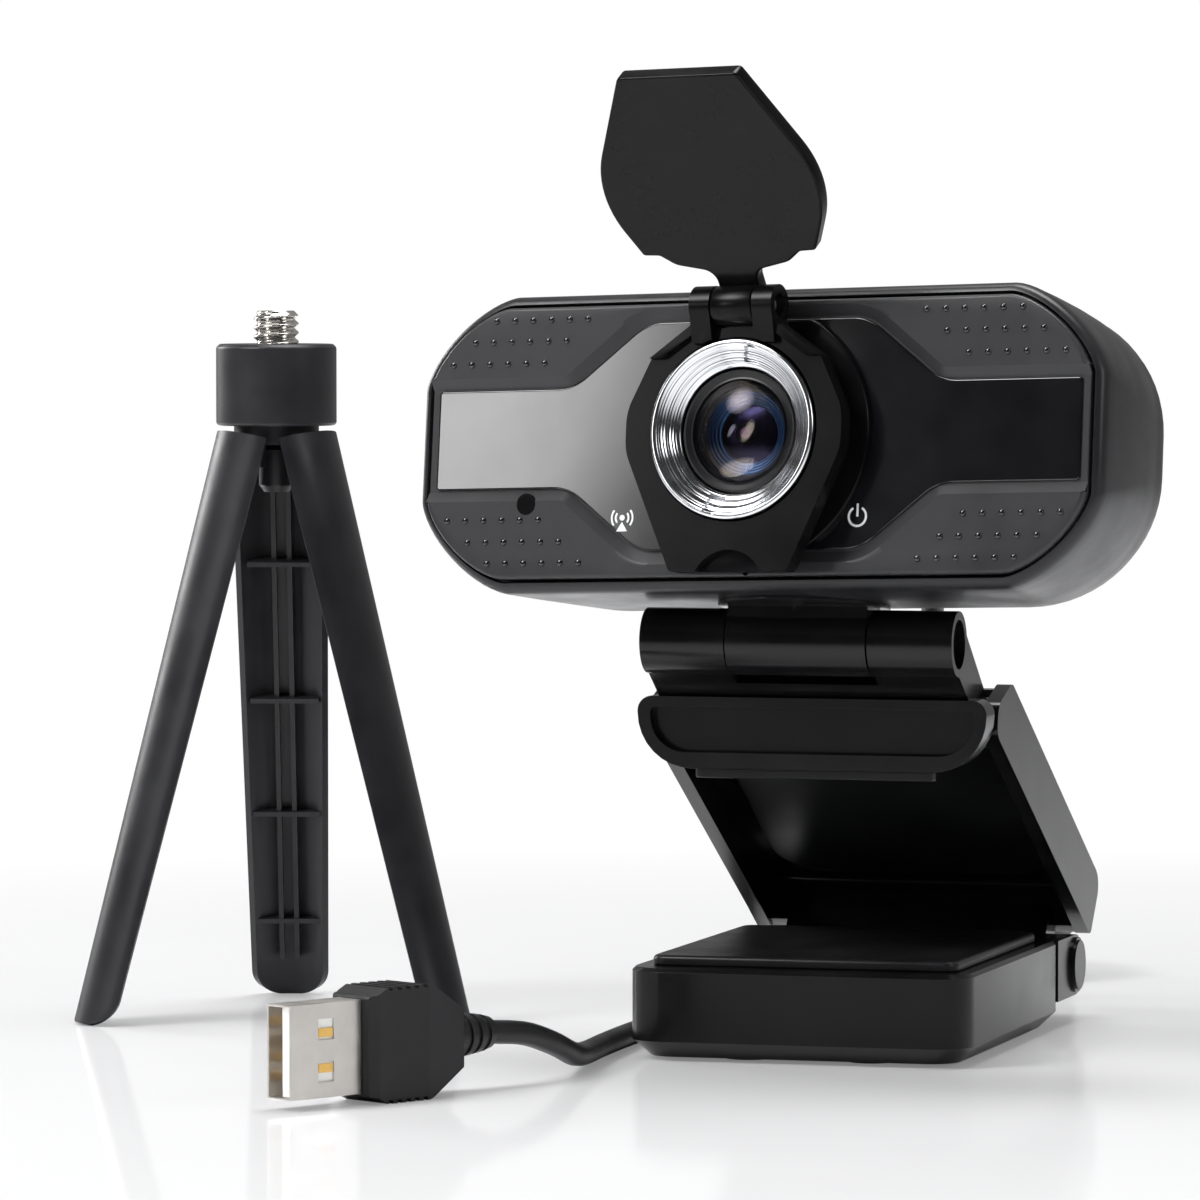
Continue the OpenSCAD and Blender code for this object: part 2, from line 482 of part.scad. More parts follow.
module sensor_board() color([0.05, 0.25, 0.12]) head_frame() {
  translate([-11, bezel_t+5, -10]) cube([22, 1, 20]);
  translate([-3.5, bezel_t+4.2, -3]) cube([7, 0.8, 6]);
}
module main_board() color([0.05, 0.25, 0.12]) head_frame() {
  translate([-34, board_y, -11]) cube([68, 1.2, 23]);
  translate([-6, board_y-1, 0]) cube([12, 1, 10]);
  translate([-28, board_y-2, -4]) cube([8, 2, 9]);
  translate([12, board_y-1.4, -6]) cube([9, 1.4, 8]);
}
module microphone() color([0.7, 0.65, 0.4]) head_frame() rod_y(2.6, bezel_t, bezel_t+2, -33, -8.8);
module housing_screws() color([0.6, 0.6, 0.62]) head_frame() {
  head_posts(1.9, pocket_d+0.1, pocket_d+0.8);
  head_posts(1, pocket_d+0.7, bezel_t+8);
}
relief_l = 9.5;
module strain_relief() color([0.06, 0.06, 0.06]) head_frame() translate([cord_exit[0], 0, cord_exit[1]])
  turned([[0, head_d-head_wall-1.2], [4.4, head_d-head_wall-1.2], [4.4, head_d-head_wall], [3, head_d-head_wall], [3, head_d],
    [4.2, head_d], [4.2, head_d+1.2], [3.2, head_d+2], [cord_d/2+0.5, head_d+relief_l], [0, head_d+relief_l]]);

// ---------- privacy cover ----------
cy = cover_axis[0]; cz = cover_axis[1];
cw = cover_hw;
frame_half = rpoly([[0, -18.6], [8.6, -18.6], [cw, -2.6], [cw, 2.6], [12.3, 9.6], [6, 14], [6, cz], [0, cz]],
  [0, 0.6, 7, 7, 0.6, 1.2, 0, 0], 7);
module cover_frame() color([0.03, 0.03, 0.033]) head_frame() difference() {
  union() {
    xz(-frame_proud, -frame_proud+frame_t) polygon(both(frame_half));
    rod_y(ring_r+1.7, -frame_proud+frame_t-e, panel_y);
    for (s = [0, 1]) mirror([s, 0, 0]) {
      yz(3.1, 6) { translate([cy, cz]) circle(r = cover_barrel_r);
        polygon([[cy-cover_barrel_r, cz], [-frame_proud+frame_t, cz], [-frame_proud+frame_t, cz-5], [cy-1.2, cz-5]]); }
      xz(-frame_proud-0.9, -frame_proud+e) polygon([[6, cz], [6, 14], [12.2, 9.5], [10.4, 9.5], [5.2, 13.1], [3.1, 14.4], [3.1, cz]]);
    }
  }
  rod_y(ring_r+0.25, -10, 5);
  rod_x(cover_barrel_r+0.25, -3.1, 3.1, cy, cz);
  rod_x(cover_pin_r+fit, -5.2, 8, cy, cz);
  rod_x(1.5, 5.2, 8, cy, cz);
  rod_y(5.4, -10, -frame_proud+1.2, 0, -21.2);
}
module cover_pin() color([0.5, 0.5, 0.52]) head_frame() rod_x(cover_pin_r, -5.1, 5.1, cy, cz);
flip_half = rpoly([[0, 0], [2.9, 0], [2.9, 4.3], [7.6, 5.4], [9.9, 6.9], [12.3, 7.1], [cw+0.1, 14], [cw-0.5, 20.5], [8.6, cover_len], [0, cover_len]],
  [0, 0, 1.2, 0.8, 0.5, 0.7, 6, 8, 0.8, 0], 7);
module flip_cover() color([0.035, 0.035, 0.038]) cover_frame_at() difference() {
  union() {
    xz(cover_off, cover_off+cover_t) polygon(both(flip_half));
    rod_x(cover_barrel_r, -2.95, 2.95);
  }
  rod_x(cover_pin_r+fit, -5, 5);
}

// ---------- tripod ----------
head_z = tri_top - tri_head_h;
hub_z = head_z - 4.4;                 // height of the leg pins
hub_rad = 5.4;                        // distance of the leg pins from the middle
leg_top = 9.2; leg_foot = 7.6;        // outer radius of a leg, top and foot
leg_up = 2.8;                         // leg above its pin
leg_l = (hub_z + (leg_foot-leg_wall-hub_rad)*sin(leg_open))/cos(leg_open);
leg_yaw = [210, 330, 90];
shank_r = thread_d/2 - 0.3; shank_l = 6;   // smooth end of the screw, held in the head
module tripod_screw() color([0.75, 0.72, 0.66]) tripod_frame() translate([0, 0, tri_top-shank_l])
  rotate_extrude() polygon([[0, 0], [shank_r, 0], [shank_r, shank_l], [thread_d/2, shank_l], [thread_d/2, shank_l+tri_screw_l-0.7],
    [thread_d/2-0.7, shank_l+tri_screw_l], [0, shank_l+tri_screw_l]]);
module tripod_head() color([0.08, 0.08, 0.085]) tripod_frame() difference() {
  translate([0, 0, head_z]) rotate_extrude() polygon([[0, 0], [tri_head_r-0.3, 0], [tri_head_r, 0.3],
    [tri_head_r, tri_head_h-0.5], [tri_head_r-0.5, tri_head_h], [0, tri_head_h]]);
  translate([0, 0, tri_top-shank_l]) cylinder(r = shank_r+fit, h = 20);
}
module tripod_hub() color([0.06, 0.06, 0.065]) tripod_frame() difference() {
  union() {
    translate([0, 0, head_z-2.6]) cylinder(r = 6, h = 2.6);
    translate([0, 0, hub_z-4]) cylinder(r = 2.5, h = 5);
    translate([0, 0, hub_z-5]) cylinder(r1 = 1.8, r2 = 2.5, h = 1);
    for (a = leg_yaw) rotate([0, 0, a]) {
      translate([0, 1.1, hub_z]) rotate([90, 0, 0]) linear_extrude(2.2) {
        translate([hub_rad, 0]) circle(r = 1.45);
        translate([2, -1.45]) square([hub_rad-2, 2.9]);
      }
      translate([2, -1.1, hub_z]) cube([hub_rad-2.2, 2.2, 2]);
    }
  }
  for (a = leg_yaw) rotate([0, 0, a]) translate([hub_rad, 0, hub_z]) rotate([90, 0, 0]) cylinder(r = leg_pin_r+fit, h = 10, center = true);
}
module leg_pins() color([0.6, 0.6, 0.62]) tripod_frame()
  for (a = leg_yaw) rotate([0, 0, a]) translate([hub_rad, 0, hub_z]) rotate([90, 0, 0]) cylinder(r = leg_pin_r, h = 4.8, center = true);
leg_cross = [0.2, 0.45, 0.66, 0.86];
module tripod_leg(a) color([0.07, 0.07, 0.075]) tripod_frame() rotate([0, 0, a])
  translate([hub_rad, 0, hub_z]) rotate([0, -leg_open, 0]) translate([-hub_rad, 0, 0]) difference() {
    union() {
      intersection() {
        rotate([0, 0, -50]) rotate_extrude(angle = 100) polygon([[leg_top-leg_wall, leg_up], [leg_top, leg_up],
          [leg_foot, -leg_l], [leg_foot-leg_wall, -leg_l]]);
        rotate([90, 0, 90]) linear_extrude(20) polygon(both(rpoly([[0, -leg_l], [5.6, -leg_l], [7.4, leg_up], [0, leg_up]], [0, 4.2, 0.8, 0])));
      }
      for (s = [-1, 1]) translate([0, s*1.1-0.35, -leg_l+6]) rotate([90, 0, 0]) mirror([0, 0, 1]) linear_extrude(0.7)
        polygon([[leg_foot-leg_wall-2, 0], [leg_foot-0.4, 0], [leg_top-0.5, leg_l-9], [leg_top-leg_wall-2, leg_l-9]]);
      for (c = leg_cross) translate([4.6, -5, -leg_l*c]) cube([leg_foot-5, 10, 0.7]);
      for (s = [-1, 1]) translate([0, s*1.85, 0]) rotate([90, 0, 0]) linear_extrude(1.1, center = true) {
        translate([hub_rad, 0]) circle(r = 1.6);
        translate([hub_rad, -1.6]) square([leg_top-hub_rad-0.6, 3.2]);
      }
    }
    translate([0, 0, 0]) rotate([0, 0, 0]) translate([hub_rad, 0, 0]) rotate([90, 0, 0]) cylinder(r = leg_pin_r+fit, h = 10, center = true);
    difference() { translate([0, 0, -leg_l-1]) cylinder(r = 20, h = leg_l+12);
      translate([0, 0, -leg_l-2]) cylinder(r1 = leg_foot, r2 = leg_top+0.2, h = leg_l+14, $fn = 96); }
  }

// ---------- cord and plug ----------
// tube swept along points, eight sides
function unit(v) = v/norm(v);
module tube(P, r) {
  n = len(P);
  T = [for (i = [0:n-1]) unit(P[min(i+1, n-1)]-P[max(i-1, 0)])];
  S = [for (t = T) unit(cross(t, abs(t[2]) > 0.9 ? [1, 0, 0] : [0, 0, 1]))];
  skin([for (i = [n-1:-1:0]) let (b = cross(S[i], T[i])) [for (k = [0:7]) P[i] + r*(S[i]*cos(45*k+22.5) + b*sin(45*k+22.5))]]);
}
// smooth curve through the points of a route
function spline(P, m = 2) = concat([for (i = [0:len(P)-2]) for (k = [0:m-1])
  let (t = k/m, a = P[max(i-1, 0)], b = P[i], c = P[i+1], d = P[min(i+2, len(P)-1)])
  0.5*((2*b) + (c-a)*t + (2*a-5*b+4*c-d)*t*t + (3*b-a-3*c+d)*t*t*t)], [P[len(P)-1]]);
module cord_drop() color([0.05, 0.05, 0.05]) tube(spline(drop_pts), cord_d/2);
module cord_run() color([0.05, 0.05, 0.05]) tube(spline(run_pts), cord_d/2);
module cord_coil() color([0.05, 0.05, 0.05]) translate([coil_at[0], coil_at[1], table_z]) rotate_extrude()
  translate([coil_r-coil_wide*cord_d/2, 0]) square([coil_wide*cord_d, coil_high*cord_d]);
shell_l = 12; shell_w = 12; shell_t = 4.5;
boot_l = 17; neck_l = 6.6;
window = [2.6, 2.6]; window_at = [6, 2.7];
module plug_shell() color([0.75, 0.74, 0.72]) plug_frame() difference() {
  translate([0, -shell_t/2, -shell_w/2]) cube([shell_l, shell_t, shell_w]);
  translate([-1, -shell_t/2+0.3, -shell_w/2+0.3]) cube([shell_l+2, shell_t-0.6, shell_w-0.6]);
  for (s = [-1, 1]) translate([window_at[0]-window[0]/2, -5, s*window_at[1]-window[1]/2]) cube([window[0], 10, window[1]]);
}
module plug_insert() color([0.92, 0.92, 0.9]) plug_frame()
  translate([0.6, -shell_t/2+0.3, -shell_w/2+0.35]) cube([shell_l-0.6, 1.9, shell_w-0.7]);
module plug_contacts() color([0.85, 0.65, 0.3]) plug_frame() {
  for (z = [-3.5, -1, 1, 3.5]) translate([1.2, -shell_t/2+2.2, z-0.5]) cube([7.5, 0.2, 1]);
  for (s = [-1, 1]) translate([window_at[0]-1.2, -shell_t/2+0.1, s*window_at[1]+(s < 0 ? -0.1 : -1)]) cube([2.4, 0.2, 1.1]);
}
module plug_boot() color([0.06, 0.06, 0.065]) plug_frame() translate([shell_l, 0, 0]) union() {
  intersection() {
    xz(-boot_t/2, boot_t/2) difference() {
      polygon(rpoly([[0, -boot_w/2+0.9], [1.2, -boot_w/2+0.9], [3, -boot_w/2], [10.5, -boot_w/2], [boot_l, -3.6], [boot_l, 3.6],
        [10.5, boot_w/2], [3, boot_w/2], [1.2, boot_w/2-0.9], [0, boot_w/2-0.9]], [0.8, 0.6, 1, 3, 0.6, 0.6, 3, 1, 0.6, 0.8]));
      for (k = [0:4], s = [-1, 1]) translate([3.4+k*1.5, s*boot_w/2]) square([0.7, 0.9], center = true);
    }
    translate([0, 0, -boot_w]) linear_extrude(2*boot_w) polygon(rpoly([[0, -boot_t/2+0.6], [1.5, -boot_t/2], [10, -boot_t/2], [boot_l, -3.2],
      [boot_l, 3.2], [10, boot_t/2], [1.5, boot_t/2], [0, boot_t/2-0.6]], [0.5, 1, 4, 0.5, 0.5, 4, 1, 0.5]));
  }
  translate([boot_l, 0, 0]) rotate([0, 90, 0]) rotate_extrude() polygon([[0, -0.5], [3, -0.5], [3, 1],
    [2.5, 1], [2.5, 1.8], [2.85, 1.8], [2.8, 2.8], [2.3, 2.8], [2.3, 3.6], [2.65, 3.6], [2.55, 4.6], [2.1, 4.6], [2.1, 5.4], [2.4, 5.4],
    [cord_d/2+0.5, neck_l], [0, neck_l]]);
}

foot_shell();
foot_cover();
foot_ballast();
socket_nut();
foot_screws();
rubber_feet();
foot_pad();
foot_hinge_pin();
arm_shell();
arm_panel();
clip_hinge_pin();
clip_body();
clip_pad();
tilt_pin();
tilt_knuckle();
swivel_screw();
swivel_washer();
rear_housing();
front_bezel();
gloss_panel();
panel_icons();
lens_ring();
lens_barrel();
lens_glass();
lens_holder();
sensor_board();
main_board();
microphone();
housing_screws();
strain_relief();
cover_frame();
cover_pin();
flip_cover();
tripod_screw();
tripod_head();
tripod_hub();
leg_pins();
tripod_leg(leg_yaw[0]);  // tripod_leg_left
tripod_leg(leg_yaw[1]);  // tripod_leg_right
tripod_leg(leg_yaw[2]);  // tripod_leg_rear
cord_drop();
cord_coil();
cord_run();
plug_boot();
plug_shell();
plug_insert();
plug_contacts();
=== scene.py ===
import json
import math

import bmesh
import bpy
import numpy as np
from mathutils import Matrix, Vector

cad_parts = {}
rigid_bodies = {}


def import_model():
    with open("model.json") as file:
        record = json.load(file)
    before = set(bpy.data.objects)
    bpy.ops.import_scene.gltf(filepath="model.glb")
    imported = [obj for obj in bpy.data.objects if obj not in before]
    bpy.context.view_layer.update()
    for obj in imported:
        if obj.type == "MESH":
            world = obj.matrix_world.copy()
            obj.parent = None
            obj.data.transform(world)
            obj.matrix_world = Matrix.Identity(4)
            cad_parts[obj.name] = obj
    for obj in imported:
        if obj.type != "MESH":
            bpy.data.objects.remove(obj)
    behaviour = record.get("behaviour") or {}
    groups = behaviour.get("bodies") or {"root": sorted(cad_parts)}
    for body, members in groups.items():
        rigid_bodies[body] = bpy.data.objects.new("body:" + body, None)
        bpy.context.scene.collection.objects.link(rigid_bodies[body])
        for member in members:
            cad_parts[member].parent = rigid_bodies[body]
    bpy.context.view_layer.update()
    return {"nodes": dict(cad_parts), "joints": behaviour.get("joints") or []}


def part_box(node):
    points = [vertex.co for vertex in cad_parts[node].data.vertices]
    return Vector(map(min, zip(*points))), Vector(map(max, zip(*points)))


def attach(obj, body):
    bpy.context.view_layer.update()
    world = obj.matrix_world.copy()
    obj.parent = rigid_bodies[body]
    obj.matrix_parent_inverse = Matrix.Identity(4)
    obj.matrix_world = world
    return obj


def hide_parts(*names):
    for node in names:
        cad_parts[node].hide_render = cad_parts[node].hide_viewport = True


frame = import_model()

bl_info = {
    "name": "Webcam, clip stand and mini tripod",
    "version": (1, 0, 0),
    "blender": (4, 5, 0),
    "location": "3D View > Sidebar > Webcam",
    "description": "Builds a wide webcam with a flip-up cover, its clip stand, cord and a small tripod",
    "category": "Object",
}

MM = 0.001
UP = np.array([0.0, 0.0, 1.0])
FULL_TURN = 2 * math.pi


# ---------------------------------------------------------------- places
def joint(name):
    return next(j for j in frame["joints"] if j["name"] == name)


def unit(v):
    v = np.asarray(v, float)
    return v / np.linalg.norm(v)


def unit_rows(v):
    return v / np.maximum(np.linalg.norm(v, axis=1, keepdims=True), 1e-9)


class Place:
    """A right-handed frame: origin in metres, axes as rows; points given in millimetres."""

    def __init__(self, origin, x, y, z):
        self.origin = np.asarray(origin, float)
        self.axes = np.array([unit(x), unit(y), unit(z)])

    def __call__(self, points):
        return self.origin + np.asarray(points, float) * MM @ self.axes

    def shifted(self, point):
        return Place(self(point), *self.axes)


table_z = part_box("rubber_feet")[0].z
cover_hinge, swivel = joint("cover_hinge"), joint("head_swivel")
hx, hz = unit(cover_hinge["axis"]), unit(swivel["axis"])
hy = np.cross(hz, hx)
HINGE_Y, HINGE_Z = -5.0, 16.3  # the cover's hinge in the head's frame, whose origin is on the lens axis
HEAD = Place(np.array(cover_hinge["pos_m"]) - (HINGE_Y * hy + HINGE_Z * hz) * MM, hx, hy, hz)
LEAN = math.radians(40)  # how far the open leaf leans towards the front
COVER = Place(cover_hinge["pos_m"], hx, math.cos(LEAN) * hy + math.sin(LEAN) * hz,
              math.cos(LEAN) * hz - math.sin(LEAN) * hy)
leg_joints = [joint("leg_%s_fold" % s) for s in ("left", "right", "rear")]
apex = np.mean([j["pos_m"] for j in leg_joints], axis=0)
TRIPOD = Place([apex[0], apex[1], table_z], [1, 0, 0], [0, 1, 0], UP)


# ---------------------------------------------------------------- outlines
def rounded(points, radii, n):
    """Closed outline whose corners are arcs of n chords: centre plus radius times cosine and sine."""
    out = []
    pts = [np.array(p, float) for p in points]
    for i, (p, r) in enumerate(zip(pts, radii)):
        if r <= 0:
            out.append(p[None])
            continue
        u, v = unit(pts[i - 1] - p), unit(pts[(i + 1) % len(pts)] - p)
        half = math.acos(np.clip(u @ v, -1, 1)) / 2
        c = p + unit(u + v) * r / math.sin(half)
        t = r / math.tan(half)
        a, b = p + u * t - c, p + v * t - c
        a0 = math.atan2(a[1], a[0])
        turn = (math.atan2(b[1], b[0]) - a0 + math.pi) % FULL_TURN - math.pi
        k = a0 + turn * np.linspace(0, 1, n + 1)
        out.append(c + r * np.stack([np.cos(k), np.sin(k)], 1))
    return np.concatenate(out)


def mirrored(half):
    """Closed outline from its right half, listed upwards; points on the middle line are kept once."""
    half = np.asarray(half, float)
    left = half[::-1] * [-1, 1]
    return np.concatenate([half, left[np.abs(left[:, 0]) > 1e-6]])


def soft_rect(w, h, cx, cz, p, n=16):
    """Rectangle of half sizes w, h whose corners are quarters of a superellipse of power p."""
    t = np.radians(np.linspace(0, 90, n + 1))
    c, s = np.cos(t).clip(0) ** (2 / p), np.sin(t).clip(0) ** (2 / p)
    q = np.stack([w - cx + cx * c, h - cz + cz * s], 1)
    r = q[::-1]
    return np.concatenate([q, r * [-1, 1], q * [-1, -1], r * [1, -1]])


def inset(outline, d):
    """Outline moved inwards by d, along the mean of each corner's two edge normals."""
    p = np.asarray(outline, float)
    e = np.roll(p, -1, 0) - p
    length = np.linalg.norm(e, axis=1, keepdims=True)
    n = np.stack([-e[:, 1], e[:, 0]], 1) / np.maximum(length, 1e-9)
    m = n + np.roll(n, 1, 0)
    m /= np.maximum((m * n).sum(1, keepdims=True), 0.5)
    return p + m * d


# ---------------------------------------------------------------- meshes
def quads(rows, cols, wrap=True):
    """Faces of a grid of rows by cols points, joined across the last column when it wraps."""
    r, c = np.meshgrid(np.arange(rows - 1), np.arange(cols if wrap else cols - 1), indexing="ij")
    d = (c + 1) % cols
    return np.stack([r * cols + c, r * cols + d, (r + 1) * cols + d, (r + 1) * cols + c], -1).reshape(-1, 4)


def piece(name, verts, faces, body, finish, slot, instead=(), sharp=35.0):
    """One finished object of the part: mesh in place, smooth but for edges over the sharp angle."""
    me = bpy.data.meshes.new(name)
    me.from_pydata(np.asarray(verts).tolist(), [], [tuple(int(i) for i in f) for f in faces])
    me.validate()
    me.update()
    ob = bpy.data.objects.new(name, me)
    bpy.context.scene.collection.objects.link(ob)
    weld(ob)
    dress(ob, body, finish, instead, sharp)
    return ob


def dress(ob, body, finish, instead, sharp):
    """Gives an object its finish, smooth shading but for edges over the sharp angle and its body, and hides the CAD
    nodes it replaces.
    """
    me = ob.data
    me.shade_smooth()
    me.set_sharp_from_angle(angle=math.radians(sharp))
    me.materials.clear()
    me.materials.append(finish)
    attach(ob, body)
    if instead:
        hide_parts(*instead)
    return ob


def join_grids(*grids):
    """Vertices and faces of several meshes as one."""
    verts, faces, base = [], [], 0
    for v, f in grids:
        verts.append(np.asarray(v))
        faces += [tuple(int(i) + base for i in q) for q in f]
        base += len(v)
    return np.concatenate(verts), faces


def skin(rings, caps=True):
    """Surface through rings of equal counts, each an (n, 3) array, closed by a face at each end."""
    rings = np.asarray(rings, float)
    rows, cols, _ = rings.shape
    faces = [tuple(f) for f in quads(rows, cols)]
    if caps:
        faces.append(tuple(range(cols))[::-1])
        faces.append(tuple(range((rows - 1) * cols, rows * cols)))
    return rings.reshape(-1, 3), faces


def at(outline, y, dz=0.0):
    """Points of a front outline laid at depth y."""
    o = np.asarray(outline, float)
    return np.column_stack([o[:, 0], np.full(len(o), y), o[:, 1] + dz])


def plate(outline, levels, place):
    """Flat piece with shaped edges: at each level (inset, depth) the outline is moved in and laid at that depth."""
    return skin([place(at(inset(outline, d), y)) for d, y in levels])


HOLD = 0.12  # extra ring inside a rounded rim, which keeps the flat face flat


def edges(y0, y1, r0, r1, n=3):
    """Levels of a plate from y0 to y1 whose two rims are quarter rounds of radii r0 and r1."""
    t = np.linspace(0, math.pi / 2, n + 1)
    s = 1 if y1 > y0 else -1
    front = [(r0 * (1 - math.sin(a)), y0 + s * r0 * (1 - math.cos(a))) for a in t]
    back = [(r1 * (1 - math.cos(a)), y1 - s * r1 * (1 - math.sin(a))) for a in t]
    return [(r0 + HOLD, y0)] + front + back + [(r1 + HOLD, y1)]


def lathe(profile, place, n, axis="y"):
    """Surface of a profile (radius, height) turned about the place's x or y axis: its radius times sine and cosine."""
    p = np.asarray(profile, float)
    a = np.linspace(0, FULL_TURN, n, endpoint=False)
    r, h = p[:, :1], np.repeat(p[:, 1:], n, 1)
    c, s = r * np.cos(a), r * np.sin(a)
    xyz = {"y": (s, h, c), "x": (h, c, s)}[axis]
    v = np.stack(xyz, -1).reshape(-1, 3)
    return place(v), quads(len(p), n)


def turned(name, profile, place, body, finish, slot, instead=(), n=96, sharp=30.0):
    """A lathe piece whose profile starts and ends on the axis or closes on itself."""
    v, f = lathe(profile, place, n)
    return piece(name, v, f, body, finish, slot, instead, sharp)


DOUBLED = 1e-6  # points nearer than this many metres are one


def weld(ob):
    """Merges doubled points and turns all faces outwards."""
    bm = bmesh.new()
    bm.from_mesh(ob.data)
    bmesh.ops.remove_doubles(bm, verts=bm.verts, dist=DOUBLED)
    bmesh.ops.dissolve_degenerate(bm, edges=bm.edges, dist=DOUBLED / 10)
    bmesh.ops.recalc_face_normals(bm, faces=bm.faces)
    bm.to_mesh(ob.data)
    bm.free()


def sides_along(path):
    """Side and upper directions along a path, the side kept level where it can be."""
    p = np.asarray(path, float)
    t = np.gradient(p, axis=0)
    t /= np.linalg.norm(t, axis=1, keepdims=True)
    s = np.cross(t, UP)
    flat = np.linalg.norm(s, axis=1, keepdims=True)
    s = np.where(flat > 0.05, s / np.maximum(flat, 1e-9), [1.0, 0.0, 0.0])
    return s, np.cross(s, t)


def tube(path, radius, n):
    """Round tube: ring centre plus radius times (cosine times side plus sine times upper direction)."""
    side, upper = (d[:, None] for d in sides_along(path))
    a = np.linspace(0, FULL_TURN, n, endpoint=False)[None, :, None]
    rings = np.asarray(path)[:, None] + radius * (side * np.cos(a) + upper * np.sin(a))
    return skin(rings[:, ::-1])


def distance_along(path):
    """Distance from the start of a path to each of its points."""
    return np.r_[0, np.cumsum(np.linalg.norm(np.diff(path, axis=0), axis=1))]


def evenly(curve, n):
    """The same curve with n points at even steps along it."""
    p = np.asarray(curve, float)
    s = distance_along(p)
    k = np.linspace(0, s[-1], n)
    return np.stack([np.interp(k, s, p[:, i]) for i in range(p.shape[1])], 1)


def through(points, step):
    """Smooth curve through points, resampled at an even step: a Catmull-Rom spline, cubic pieces whose slope at each
    point is half the way from the point before to the point after."""
    p = np.asarray(points, float)
    q = np.concatenate([2 * p[:1] - p[1:2], p, 2 * p[-1:] - p[-2:-1]])
    t = np.linspace(0, 1, 12, endpoint=False)[None, :, None]
    a, b, c, d = (q[i:len(p) - 1 + i, None] for i in range(4))
    v = 0.5 * (2 * b + (c - a) * t + (2 * a - 5 * b + 4 * c - d) * t**2 + (3 * b - a - 3 * c + d) * t**3)
    v = np.concatenate([v.reshape(-1, 3), p[-1:]])
    return evenly(v, max(2, int(round(distance_along(v)[-1] / step)) + 1))


CAD_SHARP = 30.0  # degrees between two faces from which a CAD edge is rounded


def from_cad(name, node, body, finish, width, segments):
    """A CAD node's own form with its edges rounded: a merged copy, flat faces joined, then a bevel of that width."""
    me = frame["nodes"][node].data.copy()
    me.name = name
    ob = bpy.data.objects.new(name, me)
    bpy.context.scene.collection.objects.link(ob)
    bm = bmesh.new()
    bm.from_mesh(me)
    bmesh.ops.remove_doubles(bm, verts=bm.verts, dist=2 * DOUBLED)
    bmesh.ops.dissolve_limit(bm, angle_limit=math.radians(0.6), verts=bm.verts, edges=bm.edges)
    bmesh.ops.recalc_face_normals(bm, faces=bm.faces)
    bm.to_mesh(me)
    bm.free()
    dress(ob, body, finish, (node,), CAD_SHARP)
    if width:
        b = ob.modifiers.new("rounded_edges", "BEVEL")
        b.width, b.segments, b.limit_method = width * MM, segments, "ANGLE"
        b.angle_limit = math.radians(CAD_SHARP)
        b.use_clamp_overlap = True
        b.harden_normals = True
    return ob


# ---------------------------------------------------------------- finishes
FINISH = {}
PLASTIC_CLOUD, METAL_CLOUD, GLASS_CLOUD = 9, 3, 2  # size in millimetres of the patches that vary a finish's gloss


def shader(name):
    """A new finish of that name: its node tree and its shader."""
    m = bpy.data.materials.new(name)
    m.use_nodes = True
    FINISH[name] = m
    return m.node_tree, m.node_tree.nodes["Principled BSDF"]


def noise(nt, coord, scale, detail, rough=0.5):
    """Cloudy value from 0 to 1 with scale patches to the metre."""
    n = nt.nodes.new("ShaderNodeTexNoise")
    n.inputs["Scale"].default_value = scale
    n.inputs["Detail"].default_value = detail
    n.inputs["Roughness"].default_value = rough
    nt.links.new(coord, n.inputs["Vector"])
    return n.outputs["Fac"]


def ramp(nt, value, low, high, start=0.35, stop=0.65):
    """A value's straight way from low to high as it goes from start to stop, held beyond them."""
    r = nt.nodes.new("ShaderNodeMapRange")
    for k, v in (("From Min", start), ("From Max", stop), ("To Min", low), ("To Max", high)):
        r.inputs[k].default_value = v
    nt.links.new(value, r.inputs["Value"])
    return r.outputs["Result"]


def mix_colour(nt, value, a, b):
    m = nt.nodes.new("ShaderNodeMix")
    m.data_type = "RGBA"
    m.inputs["A"].default_value = (*a, 1)
    m.inputs["B"].default_value = (*b, 1)
    nt.links.new(value, m.inputs["Factor"])
    return m.outputs["Result"]


def bump(nt, bsdf, height, distance):
    b = nt.nodes.new("ShaderNodeBump")
    b.inputs["Distance"].default_value = distance
    b.inputs["Strength"].default_value = 1.0
    nt.links.new(height, b.inputs["Height"])
    nt.links.new(b.outputs["Normal"], bsdf.inputs["Normal"])


def object_coord(nt):
    return nt.nodes.new("ShaderNodeTexCoord").outputs["Object"]


def plastic(name, colour, rough, grain, depth, coat=0.0, spread=0.05, shade=0.12, shine=0.3):
    """Moulded plastic: a fine grain as bump, and a cloud that moves the gloss by spread and the colour by shade.
    Grain and depth in millimetres."""
    nt, b = shader(name)
    co = object_coord(nt)
    fine = noise(nt, co, 1 / (grain * MM), 3.0, 0.6)
    cloud = noise(nt, co, 1 / (PLASTIC_CLOUD * MM), 4.0, 0.6)
    lighter = tuple(min(1, c * (1 + shade) + 0.002) for c in colour)
    darker = tuple(c * (1 - shade) for c in colour)
    nt.links.new(mix_colour(nt, ramp(nt, cloud, 0, 1), darker, lighter), b.inputs["Base Color"])
    nt.links.new(ramp(nt, cloud, rough - spread, rough + spread), b.inputs["Roughness"])
    b.inputs["IOR"].default_value = 1.5
    b.inputs["Specular IOR Level"].default_value = shine
    b.inputs["Coat Weight"].default_value = coat
    b.inputs["Coat Roughness"].default_value = 0.12
    bump(nt, b, fine, depth * MM)
    return FINISH[name]


